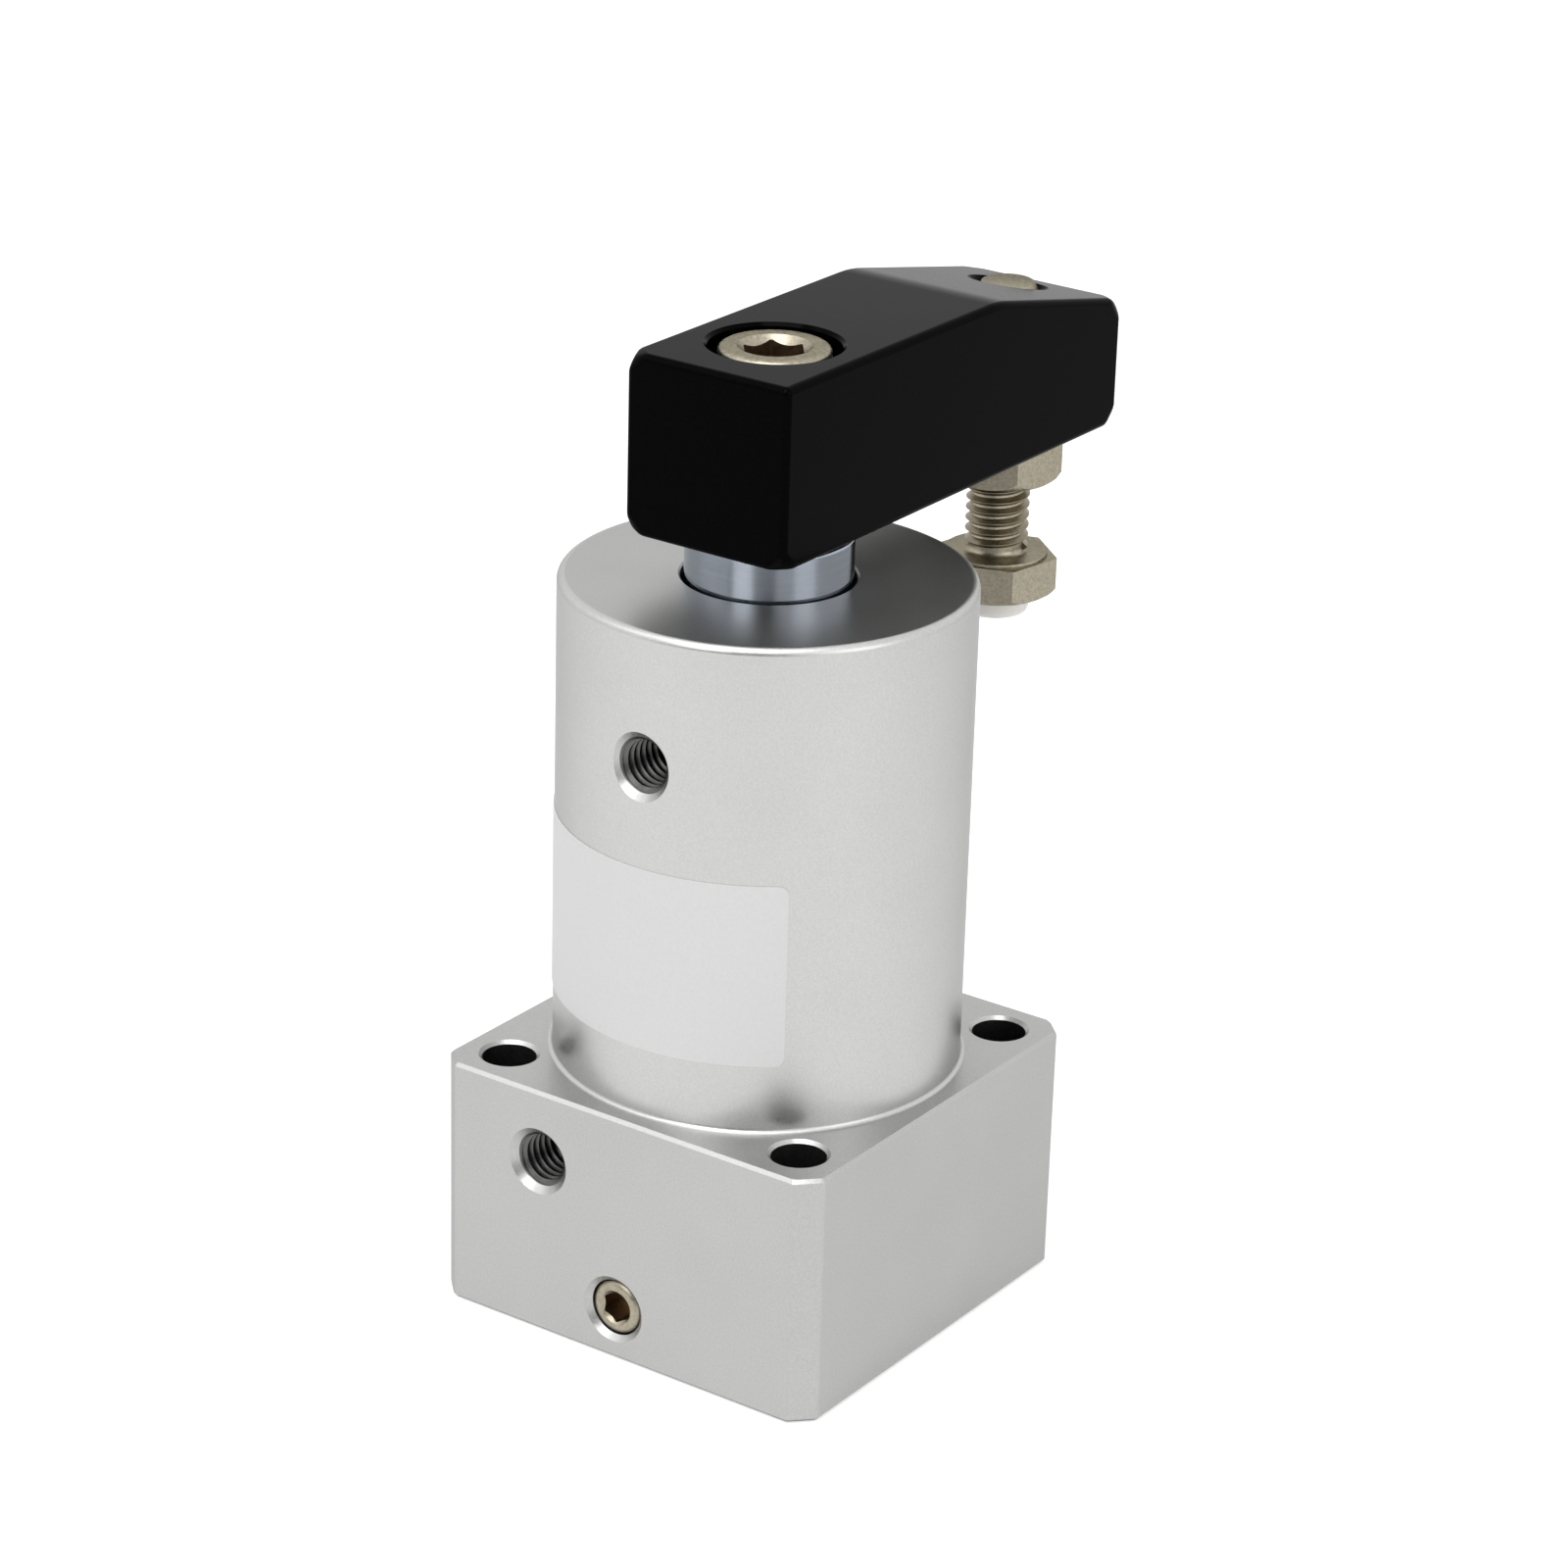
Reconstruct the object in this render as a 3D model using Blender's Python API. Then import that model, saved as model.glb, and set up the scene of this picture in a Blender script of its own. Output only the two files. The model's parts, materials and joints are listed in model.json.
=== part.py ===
"""Pneumatic swing clamp cylinder.

A square-based round body carries a piston rod that first rises straight, then turns as it rises
further. A follower pin in the rod runs in a cam track on a fixed guide post. The clamp arm on the
rod's top carries an adjustable clamp bolt with a soft pad.

Metres, +Z up. The origin is the middle of the mounting face, on the rod's axis. The ports face -Y,
and the arm points to +Y in the clamped position, with the rod retracted.
"""

import math

import bmesh
import bpy
from mathutils import Matrix, Vector

# Clearances
SEAT_GAP = 0.0003                   # between a piece and the seat that it is clamped or pressed on
RUNNING_GAP = 0.0002                # radial gap where one round piece slides or turns in another
ROD_CLEARANCE = 0.00032             # open ring round the rod at the top of the body

# Travel of the rod
CLAMP_STROKE = 0.0140               # straight part, next to the clamped position
SWING_STROKE = 0.0130               # part in which the arm turns
SWING_ANGLE = math.radians(90.0)

# Body
BASE_WIDTH = 0.0400
BASE_CORNER_CHAMFER = 0.0019
BASE_EDGE_CHAMFER = 0.0004
BARREL_DIAMETER = 0.0360
BARREL_EDGE_CHAMFER = 0.0007
BARREL_FOOT_FILLET = 0.0004
BORE_DIAMETER = 0.0250
TOP_LIP_HEIGHT = 0.0015             # above the rod seal's groove
SEAL_WEB_HEIGHT = 0.0007            # between the rod seal's groove and the rod bush

# Mounting holes
MOUNTING_HOLE_INSET = 0.0045        # from the block's side to the hole's axis
MOUNTING_HOLE_DIAMETER = 0.0048
HOLE_LIP_CHAMFER = 0.0003

# Ports
PORT_DIAMETER = 0.0050              # root of the port's thread
PORT_COUNTERSINK_DIAMETER = 0.0062
PORT_ABOVE_COVER = 0.0005           # from the rear cover's top to the lower port's thread
LOWER_PORT_OFFSET = 0.0088          # from the rod's axis towards -X
UPPER_PORT_DROP = 0.0012            # below the top of the chamber
WALL_ABOVE_LOWER_PORT = 0.0036
PORT_BREAKTHROUGH = 0.0015          # how far a port's drill runs past the wall of the bore

# Rear cover, screwed in from below
COVER_FLANGE_DIAMETER = 0.0280
COVER_FLANGE_HEIGHT = 0.0094
COVER_SPIGOT_HEIGHT = 0.0040
COVER_FLOOR_THICKNESS = 0.0020      # under the guide post
COVER_EDGE_CHAMFER = 0.0005
SPANNER_HOLE_DIAMETER = 0.0030
SPANNER_HOLE_DEPTH = 0.0035
SPANNER_HOLE_SPACING = 0.0180
CROSS_PIN_DIAMETER = 0.0025
CROSS_PIN_LEVEL = 0.0058
CROSS_PIN_INSET = 0.0010            # from the flange's edge to the pin's outer end

# Set screw that locks the rear cover
SET_SCREW_DIAMETER = 0.0050
SET_SCREW_OFFSET = 0.0004           # from the rod's axis towards -X
SET_SCREW_RECESS = 0.0007
SET_SCREW_SOCKET = 0.0025           # across flats
SET_SCREW_SOCKET_DEPTH = 0.0022
SET_SCREW_EDGE_CHAMFER = 0.0004

# Seals, bumpers and bush
O_RING_SECTION = 0.0012
O_RING_GROOVE_DEPTH = 0.0016
BUMPER_THICKNESS = 0.0015
BUMPER_WIDTH = 0.0039
BUSH_LENGTH = 0.0050
BUSH_WALL = 0.00125
ROD_SEAL_HEIGHT = 0.0026
ROD_SEAL_WIDTH = 0.00265
ROD_SEAL_LIP_SHARE = 0.20           # of the seal's width, each lip's tip
ROD_SEAL_VEE_SHARE = 0.45           # of the seal's height, the depth between its lips
PISTON_SEAL_HEIGHT = 0.0026
PISTON_SEAL_WIDTH = 0.0021
PISTON_SEAL_LIP_SHARE = 0.25        # of the seal's height, each of its two lips
PISTON_SEAL_WAIST_SHARE = 0.20      # of the seal's width, the depth between its lips
WEAR_RING_HEIGHT = 0.0038
WEAR_RING_WALL = 0.0014
WEAR_RING_SLIT = 0.0010
WEAR_RING_SLIT_TILT = math.radians(30.0)

# Piston
PISTON_LENGTH = 0.0116
PISTON_EDGE_CHAMFER = 0.0004
LOWER_LAND_HEIGHT = 0.0019          # between the piston's lower face and the wear ring's groove
UPPER_LAND_HEIGHT = 0.0011          # between the seal's groove and the piston's upper face

# Piston rod
ROD_DIAMETER = 0.0145
ROD_NECK_DIAMETER = 0.0125          # lower end, through the piston
ROD_EDGE_CHAMFER = 0.0004
RING_THICKNESS = 0.0009
RING_WALL = 0.0017
RING_GROOVE_DEPTH = 0.00065
RING_OPENING = math.radians(70.0)
SPIGOT_DIAMETER = 0.0100            # top end, inside the arm
SPIGOT_HEIGHT = 0.0073
SPIGOT_FLAT_WIDTH = 0.0078          # across its two flats

# Guide post and follower pin
POST_DIAMETER = 0.0080
POST_BORE_CLEARANCE = 0.00035       # between the post and the bore of the rod
POST_EDGE_CHAMFER = 0.0006
POST_END_MARGIN = 0.0035            # above the follower pin's highest place
TRACK_DEPTH = 0.0016
PIN_DIAMETER = 0.0030
PIN_TIP_CLEARANCE = 0.0003          # the follower's tip stays outside the cam track
ROD_BORE_END_ROOM = 0.0010          # between the post's top and the end of the rod's bore

# Clamp arm
ARM_CLEARANCE = 0.0044              # above the body in the clamped position
ARM_HEIGHT = 0.0160
ARM_WIDTH = 0.0164
ARM_TAIL = 0.0097                   # from the rod's axis to the arm's back
ARM_NOSE = 0.0063                   # from the clamp bolt's axis to the arm's front
ARM_RIDGE = 0.0223                  # from the rod's axis to the start of the slope
ARM_NOSE_DROP = 0.0043
ARM_EDGE_ROUNDING = 0.0011
BOLT_DISTANCE = 0.0360              # from the rod's axis

# Cap screw that holds the arm
CAP_HEAD_DIAMETER = 0.0096
CAP_HEAD_HEIGHT = 0.0060
CAP_HEAD_RECESS = 0.0002            # below the arm's top
CAP_HEAD_EDGE = 0.0005
CAP_SCREW_DIAMETER = 0.0060
CAP_SCREW_LENGTH = 0.0180
CAP_SOCKET = 0.0050                 # across flats
CAP_SOCKET_DEPTH = 0.0030
COUNTERBORE_SIDE_GAP = 0.0009
SCREW_END_ROOM = 0.0010             # below the screw in its tapped hole

# Clamp bolt, lock nut and pad
BOLT_DIAMETER = 0.0058
BOLT_LENGTH = 0.0256                # under the head
BOLT_DROP = 0.0124                  # from the arm's underside to the bolt's head
BOLT_HEAD_HEIGHT = 0.0035
BOLT_END_CHAMFER = 0.0006
HEX_WIDTH = 0.0100                  # across flats, bolt head and nut alike
HEX_TURN = math.radians(19.5)       # how the bolt and the nut happen to stand
HEX_CHAMFER_HEIGHT = 0.0006
WASHER_FACE_DIAMETER = 0.0094
WASHER_FACE_HEIGHT = 0.0003
NUT_HEIGHT = 0.0047
TAPPED_HOLE_COUNTERSINK = 0.0005
PAD_DIAMETER = 0.0064
PAD_HEIGHT = 0.0017
PAD_EDGE_ROUNDING = 0.0005
PAD_STEM_DIAMETER = 0.0036
PAD_STEM_LENGTH = 0.0028

# Facets
BARREL_SEGMENTS = 80
ROD_SEGMENTS = 52
ROUND_SEGMENTS = 38
SMALL_SEGMENTS = 28
PIN_SEGMENTS = 18
ARC_STEPS = 3
O_RING_STEPS = 8
RETAINING_RING_STEPS = 30
FLATTED_CIRCLE_STEPS = 12
TRACK_TURN_STEPS = 12
TRACK_UPRIGHT_SHARES = (0.0, 0.5, 0.9)
TRACK_END_TURNS = tuple(math.radians(turn) for turn in (80.0, 55.0, 30.0))
ARM_ROUNDING_STEPS = 4
ARM_LEAST_ANGLE = math.radians(30.0)    # leaves the ridge of the slope as it is
BASE_LEAST_ANGLE = math.radians(60.0)   # leaves the block's four corner chamfers as they are
SHARP_ANGLE = math.radians(35.0)
MERGE_DISTANCE = 0.000001
OVERSHOOT = 0.0010                  # how far a cutter stands out of the face that it starts from

# Levels above the mounting face
COVER_TOP = COVER_FLANGE_HEIGHT + COVER_SPIGOT_HEIGHT
LOWER_BUMPER_BOTTOM = COVER_TOP + SEAT_GAP
PISTON_BOTTOM = LOWER_BUMPER_BOTTOM + BUMPER_THICKNESS + SEAT_GAP
PISTON_TOP = PISTON_BOTTOM + PISTON_LENGTH
UPPER_BUMPER_BOTTOM = PISTON_TOP + CLAMP_STROKE + SWING_STROKE + SEAT_GAP
CHAMBER_TOP = UPPER_BUMPER_BOTTOM + BUMPER_THICKNESS + SEAT_GAP
BUSH_BOTTOM = CHAMBER_TOP + SEAT_GAP
SEAL_GROOVE_BOTTOM = BUSH_BOTTOM + BUSH_LENGTH + SEAT_GAP + SEAL_WEB_HEIGHT
SEAL_GROOVE_TOP = SEAL_GROOVE_BOTTOM + ROD_SEAL_HEIGHT + 2 * RUNNING_GAP
BODY_TOP = SEAL_GROOVE_TOP + TOP_LIP_HEIGHT
ARM_BOTTOM = BODY_TOP + ARM_CLEARANCE
ARM_TOP = ARM_BOTTOM + ARM_HEIGHT
LOWER_PORT_LEVEL = COVER_TOP + PORT_ABOVE_COVER + PORT_DIAMETER / 2
UPPER_PORT_LEVEL = CHAMBER_TOP - UPPER_PORT_DROP
BASE_TOP = LOWER_PORT_LEVEL + PORT_COUNTERSINK_DIAMETER / 2 + WALL_ABOVE_LOWER_PORT
ROD_BOTTOM = COVER_TOP + SEAT_GAP
ROD_SHOULDER = PISTON_TOP + SEAT_GAP
ROD_TOP_SHOULDER = ARM_BOTTOM - SEAT_GAP
CAP_HEAD_BOTTOM = ARM_TOP - CAP_HEAD_RECESS - CAP_HEAD_HEIGHT
BOLT_HEAD_TOP = ARM_BOTTOM - BOLT_DROP
BOLT_HEAD_BOTTOM = BOLT_HEAD_TOP - BOLT_HEAD_HEIGHT

# Radii that several pieces share
BORE_RADIUS = BORE_DIAMETER / 2
BARREL_RADIUS = BARREL_DIAMETER / 2
ROD_RADIUS = ROD_DIAMETER / 2
NECK_RADIUS = ROD_NECK_DIAMETER / 2
POST_RADIUS = POST_DIAMETER / 2
ROD_BORE_RADIUS = POST_RADIUS + POST_BORE_CLEARANCE
PISTON_RADIUS = BORE_RADIUS - SEAT_GAP
SLIDING_RADIUS = BORE_RADIUS - RUNNING_GAP
PISTON_BORE_RADIUS = NECK_RADIUS + SEAT_GAP
WEAR_GROOVE_RADIUS = SLIDING_RADIUS - WEAR_RING_WALL - RUNNING_GAP
SEAL_GROOVE_RADIUS = SLIDING_RADIUS - PISTON_SEAL_WIDTH - RUNNING_GAP
BUSH_INNER_RADIUS = ROD_RADIUS + RUNNING_GAP
BUSH_OUTER_RADIUS = BUSH_INNER_RADIUS + BUSH_WALL
BUMPER_OUTER_RADIUS = BORE_RADIUS - 2 * RUNNING_GAP
BUMPER_INNER_RADIUS = BUMPER_OUTER_RADIUS - BUMPER_WIDTH

# The follower pin stands behind the wear ring, on the -Y side of the rod
WEAR_GROOVE_BOTTOM = PISTON_BOTTOM + LOWER_LAND_HEIGHT
WEAR_GROOVE_TOP = WEAR_GROOVE_BOTTOM + WEAR_RING_HEIGHT + 2 * RUNNING_GAP
PIN_LEVEL = (WEAR_GROOVE_BOTTOM + WEAR_GROOVE_TOP) / 2
PIN_ANGLE = math.radians(-90.0)
POST_TOP = PIN_LEVEL + CLAMP_STROKE + SWING_STROKE + POST_END_MARGIN
ROD_BORE_TOP = POST_TOP + ROD_BORE_END_ROOM
PISTON_SEAL_BOTTOM = PISTON_TOP - UPPER_LAND_HEIGHT - RUNNING_GAP - PISTON_SEAL_HEIGHT
PISTON_O_RING_LEVEL = PISTON_SEAL_BOTTOM + PISTON_SEAL_HEIGHT / 2
RING_GROOVE_RADIUS = NECK_RADIUS - RING_GROOVE_DEPTH


def material(name, colour, roughness, metallic):
    """A Principled BSDF material of one colour."""
    made = bpy.data.materials.new(name)
    made.use_nodes = True
    shader = made.node_tree.nodes["Principled BSDF"]
    shader.inputs["Base Color"].default_value = (*colour, 1.0)
    shader.inputs["Roughness"].default_value = roughness
    shader.inputs["Metallic"].default_value = metallic
    made.diffuse_color = (*colour, 1.0)
    return made


def turned(profile, segments=ROUND_SEGMENTS):
    """A shape of revolution about Z, from (radius, height) points.

    A profile that starts and ends on the axis gives a solid. Any other is closed to a ring.
    """
    shape = bmesh.new()
    points = [shape.verts.new((radius, 0.0, height)) for radius, height in profile]
    solid = profile[0][0] == 0.0 and profile[-1][0] == 0.0
    followers = points[1:] if solid else points[1:] + points[:1]
    edges = [shape.edges.new(pair) for pair in zip(points, followers)]
    bmesh.ops.spin(
        shape,
        geom=points + edges,
        cent=(0.0, 0.0, 0.0),
        axis=(0.0, 0.0, 1.0),
        angle=math.tau,
        steps=segments,
        use_merge=True,
        use_duplicate=False,
    )
    bmesh.ops.remove_doubles(shape, verts=shape.verts, dist=MERGE_DISTANCE)
    bmesh.ops.recalc_face_normals(shape, faces=shape.faces)
    return shape


def extruded(outline, height):
    """A prism on the XY plane, from the (x, y) points of its outline."""
    shape = bmesh.new()
    face = shape.faces.new([shape.verts.new((x, y, 0.0)) for x, y in outline])
    grown = bmesh.ops.extrude_face_region(shape, geom=[face])
    top = [item for item in grown["geom"] if isinstance(item, bmesh.types.BMVert)]
    bmesh.ops.translate(shape, verts=top, vec=(0.0, 0.0, height))
    bmesh.ops.recalc_face_normals(shape, faces=shape.faces)
    return shape


def cylinder(radius, height, segments=SMALL_SEGMENTS):
    """A plain cylinder that stands on the XY plane."""
    return turned([(0.0, 0.0), (radius, 0.0), (radius, height), (0.0, height)], segments)


def block(low, high):
    """A box between two corners."""
    size = Vector(high) - Vector(low)
    middle = (Vector(high) + Vector(low)) / 2
    shape = bmesh.new()
    bmesh.ops.create_cube(shape, size=1.0, matrix=Matrix.Translation(middle) @ Matrix.Diagonal((*size, 1.0)))
    return shape


def hexagon(width):
    """The outline of a hexagon of this width across flats, with two corners on the X axis."""
    reach = width / math.sqrt(3.0)
    turns = [math.radians(60 * k) for k in range(6)]
    return [(reach * math.cos(turn), reach * math.sin(turn)) for turn in turns]


def arc(centre, radius, start, end, steps=ARC_STEPS):
    """Points on an arc, from one angle to the other, both ends included."""
    turns = [start + (end - start) * step / steps for step in range(steps + 1)]
    return [(centre[0] + radius * math.cos(turn), centre[1] + radius * math.sin(turn)) for turn in turns]


def facing(direction):
    """The rotation that turns +Z to a direction."""
    return Vector(direction).to_track_quat("Z", "Y").to_euler()


def place(name, shape, location, parent, rotation=(0.0, 0.0, 0.0)):
    """Makes an object of a shape and frees the shape."""
    mesh = bpy.data.meshes.new(name)
    shape.to_mesh(mesh)
    shape.free()
    mesh.shade_smooth()
    mesh.set_sharp_from_angle(angle=SHARP_ANGLE)
    made = bpy.data.objects.new(name, mesh)
    made.location = location
    made.rotation_euler = rotation
    made.parent = parent
    bpy.context.scene.collection.objects.link(made)
    return made


def add_piece(name, shape, finish, location=(0.0, 0.0, 0.0), parent=None, rotation=(0.0, 0.0, 0.0)):
    """Adds a sub-part with its material."""
    piece = place(name, shape, location, parent, rotation)
    piece.data.materials.append(finish)
    return piece


def shape_with(piece, operation, name, tool_shape, location=(0.0, 0.0, 0.0), rotation=(0.0, 0.0, 0.0)):
    """Cuts, joins or crops a piece with a hidden tool, placed in the piece's own frame."""
    tool = place(name, tool_shape, location, piece, rotation)
    tool.hide_render = True
    tool.display_type = "WIRE"
    modifier = piece.modifiers.new(name, "BOOLEAN")
    modifier.operation = operation
    modifier.solver = "EXACT"
    modifier.object = tool


def cut(piece, name, tool_shape, location=(0.0, 0.0, 0.0), rotation=(0.0, 0.0, 0.0)):
    """Cuts a hidden tool out of a piece."""
    shape_with(piece, "DIFFERENCE", name, tool_shape, location, rotation)


def round_edges(piece, width, segments, least_angle):
    """Bevels the edges of a piece that are sharper than an angle."""
    modifier = piece.modifiers.new("edges", "BEVEL")
    modifier.width = width
    modifier.segments = segments
    modifier.limit_method = "ANGLE"
    modifier.angle_limit = least_angle


def countersunk_drill(radius, mouth_radius, depth, segments=SMALL_SEGMENTS):
    """A drill that points down from the XY plane, with a 45 degree countersink at its mouth."""
    chamfer = mouth_radius - radius
    return turned(
        [
            (0.0, -depth),
            (radius, -depth),
            (radius, -chamfer),
            (mouth_radius + OVERSHOOT, OVERSHOOT),
            (0.0, OVERSHOOT),
        ],
        segments,
    )


def torus(centre_radius, section):
    """A ring of round section, centred on the origin."""
    points = arc((centre_radius, 0.0), section / 2, 0.0, math.tau, O_RING_STEPS)
    return turned(points[:-1], SMALL_SEGMENTS)


def chamfered_block_outline(width, chamfer):
    """A square outline with its corners cut at 45 degrees."""
    side = width / 2
    inner = side - chamfer
    quarter = [(side, -inner), (side, inner)]
    return [
        (x * math.cos(turn) - y * math.sin(turn), x * math.sin(turn) + y * math.cos(turn))
        for turn in (math.radians(90 * k) for k in range(4))
        for x, y in quarter
    ]


def make_cylinder_body(finish):
    """One machined piece: square base, round barrel, bore, rod cover, ports and mounting holes."""
    body = add_piece(
        "cylinder_body",
        extruded(chamfered_block_outline(BASE_WIDTH, BASE_CORNER_CHAMFER), BASE_TOP),
        finish,
    )
    round_edges(body, BASE_EDGE_CHAMFER, 1, BASE_LEAST_ANGLE)

    foot = arc(
        (BARREL_RADIUS + BARREL_FOOT_FILLET, BASE_TOP + BARREL_FOOT_FILLET),
        BARREL_FOOT_FILLET,
        math.radians(-90.0),
        math.radians(-180.0),
    )
    barrel = (
        [(0.0, BASE_TOP / 2), (BARREL_RADIUS + BARREL_FOOT_FILLET, BASE_TOP / 2)]
        + foot
        + [
            (BARREL_RADIUS, BODY_TOP - BARREL_EDGE_CHAMFER),
            (BARREL_RADIUS - BARREL_EDGE_CHAMFER, BODY_TOP),
            (0.0, BODY_TOP),
        ]
    )
    shape_with(body, "UNION", "barrel", turned(barrel, BARREL_SEGMENTS))

    cover_seat_radius = COVER_FLANGE_DIAMETER / 2 + SEAT_GAP
    cover_seat_level = COVER_FLANGE_HEIGHT + SEAT_GAP
    bush_seat_radius = BUSH_OUTER_RADIUS + SEAT_GAP
    bush_seat_top = BUSH_BOTTOM + BUSH_LENGTH + SEAT_GAP
    seal_seat_radius = BUSH_INNER_RADIUS + ROD_SEAL_WIDTH + RUNNING_GAP
    rod_hole_radius = ROD_RADIUS + ROD_CLEARANCE
    inside = [
        (0.0, -OVERSHOOT),
        (cover_seat_radius, -OVERSHOOT),
        (cover_seat_radius, cover_seat_level),
        (BORE_RADIUS, cover_seat_level),
        (BORE_RADIUS, CHAMBER_TOP),
        (bush_seat_radius, CHAMBER_TOP),
        (bush_seat_radius, bush_seat_top),
        (rod_hole_radius, bush_seat_top),
        (rod_hole_radius, SEAL_GROOVE_BOTTOM),
        (seal_seat_radius, SEAL_GROOVE_BOTTOM),
        (seal_seat_radius, SEAL_GROOVE_TOP),
        (rod_hole_radius, SEAL_GROOVE_TOP),
        (rod_hole_radius, BODY_TOP + OVERSHOOT),
        (0.0, BODY_TOP + OVERSHOOT),
    ]
    cut(body, "bore", turned(inside))

    port_radius = PORT_DIAMETER / 2
    port_mouth = PORT_COUNTERSINK_DIAMETER / 2
    upper_depth = BARREL_RADIUS - BORE_RADIUS + PORT_BREAKTHROUGH
    cut(
        body,
        "upper_port",
        countersunk_drill(port_radius, port_mouth, upper_depth),
        (0.0, -BARREL_RADIUS, UPPER_PORT_LEVEL),
        facing((0.0, -1.0, 0.0)),
    )
    bore_wall = math.sqrt(BORE_RADIUS ** 2 - LOWER_PORT_OFFSET ** 2)
    lower_depth = BASE_WIDTH / 2 - bore_wall + PORT_BREAKTHROUGH
    cut(
        body,
        "lower_port",
        countersunk_drill(port_radius, port_mouth, lower_depth),
        (-LOWER_PORT_OFFSET, -BASE_WIDTH / 2, LOWER_PORT_LEVEL),
        facing((0.0, -1.0, 0.0)),
    )

    screw_hole_radius = SET_SCREW_DIAMETER / 2 + RUNNING_GAP
    cut(
        body,
        "set_screw_hole",
        countersunk_drill(
            screw_hole_radius,
            screw_hole_radius + HOLE_LIP_CHAMFER,
            BASE_WIDTH / 2 - COVER_FLANGE_DIAMETER / 2,
        ),
        (-SET_SCREW_OFFSET, -BASE_WIDTH / 2, COVER_FLANGE_HEIGHT / 2),
        facing((0.0, -1.0, 0.0)),
    )

    hole_radius = MOUNTING_HOLE_DIAMETER / 2
    hole_mouth = hole_radius + HOLE_LIP_CHAMFER
    hole_reach = BASE_WIDTH / 2 - MOUNTING_HOLE_INSET
    for number, (side_x, side_y) in enumerate(((-1, -1), (1, -1), (1, 1), (-1, 1)), 1):
        cut(
            body,
            f"mounting_hole_{number}",
            countersunk_drill(hole_radius, hole_mouth, BASE_TOP + OVERSHOOT),
            (side_x * hole_reach, side_y * hole_reach, BASE_TOP),
        )
    return body


def make_rear_cover(finish):
    """Threaded cover that closes the bore and carries the guide post."""
    flange = COVER_FLANGE_DIAMETER / 2
    spigot = BORE_RADIUS - SEAT_GAP
    groove = BORE_RADIUS - O_RING_GROOVE_DEPTH
    groove_half = O_RING_SECTION / 2 + RUNNING_GAP
    groove_middle = COVER_FLANGE_HEIGHT + COVER_SPIGOT_HEIGHT / 2
    post_seat = POST_RADIUS + SEAT_GAP
    cover = add_piece(
        "rear_cover",
        turned(
            [
                (0.0, 0.0),
                (flange - COVER_EDGE_CHAMFER, 0.0),
                (flange, COVER_EDGE_CHAMFER),
                (flange, COVER_FLANGE_HEIGHT),
                (spigot, COVER_FLANGE_HEIGHT),
                (spigot, groove_middle - groove_half),
                (groove, groove_middle - groove_half),
                (groove, groove_middle + groove_half),
                (spigot, groove_middle + groove_half),
                (spigot, COVER_TOP),
                (post_seat, COVER_TOP),
                (post_seat, COVER_FLOOR_THICKNESS),
                (0.0, COVER_FLOOR_THICKNESS),
            ]
        ),
        finish,
    )
    for name, side in (("spanner_hole_1", -1), ("spanner_hole_2", 1)):
        cut(
            cover,
            name,
            cylinder(SPANNER_HOLE_DIAMETER / 2, SPANNER_HOLE_DEPTH + OVERSHOOT, PIN_SEGMENTS),
            (side * SPANNER_HOLE_SPACING / 2, 0.0, -OVERSHOOT),
        )
    cross_hole_length = flange + OVERSHOOT + 2 * post_seat
    cut(
        cover,
        "cover_cross_hole",
        cylinder(CROSS_PIN_DIAMETER / 2 + SEAT_GAP, cross_hole_length, PIN_SEGMENTS),
        (0.0, flange + OVERSHOOT, CROSS_PIN_LEVEL),
        facing((0.0, -1.0, 0.0)),
    )
    return cover


def make_cover_o_ring(finish):
    """Static seal between the rear cover and the bore."""
    centre = BORE_RADIUS - O_RING_GROOVE_DEPTH / 2
    level = COVER_FLANGE_HEIGHT + COVER_SPIGOT_HEIGHT / 2
    return add_piece("rear_cover_o_ring", torus(centre, O_RING_SECTION), finish, (0.0, 0.0, level))


def make_set_screw(finish):
    """Headless screw that locks the rear cover, with its socket facing out."""
    radius = SET_SCREW_DIAMETER / 2
    length = BASE_WIDTH / 2 - SET_SCREW_RECESS - COVER_FLANGE_DIAMETER / 2 - SEAT_GAP
    screw = add_piece(
        "cover_set_screw",
        turned(
            [
                (0.0, -length),
                (radius - SET_SCREW_EDGE_CHAMFER, -length),
                (radius, -length + SET_SCREW_EDGE_CHAMFER),
                (radius, -SET_SCREW_EDGE_CHAMFER),
                (radius - SET_SCREW_EDGE_CHAMFER, 0.0),
                (0.0, 0.0),
            ],
            SMALL_SEGMENTS,
        ),
        finish,
        (-SET_SCREW_OFFSET, SET_SCREW_RECESS - BASE_WIDTH / 2, COVER_FLANGE_HEIGHT / 2),
        rotation=facing((0.0, -1.0, 0.0)),
    )
    cut(
        screw,
        "set_screw_socket",
        extruded(hexagon(SET_SCREW_SOCKET), SET_SCREW_SOCKET_DEPTH + OVERSHOOT),
        (0.0, 0.0, -SET_SCREW_SOCKET_DEPTH),
    )
    return screw


def track_angle(level):
    """Angle of the cam track at a level: upright first, then a quarter turn to the left."""
    turn_start = PIN_LEVEL + CLAMP_STROKE
    share = min(max((level - turn_start) / SWING_STROKE, 0.0), 1.0)
    return PIN_ANGLE - SWING_ANGLE * share


def lofted(rings):
    """A closed shape through rings of points, with flat ends."""
    shape = bmesh.new()
    loops = [[shape.verts.new(point) for point in ring] for ring in rings]
    for near, far in zip(loops, loops[1:]):
        for k in range(len(near)):
            shape.faces.new((near[k - 1], near[k], far[k], far[k - 1]))
    shape.faces.new(loops[0])
    shape.faces.new(loops[-1])
    bmesh.ops.recalc_face_normals(shape, faces=shape.faces)
    return shape


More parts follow.
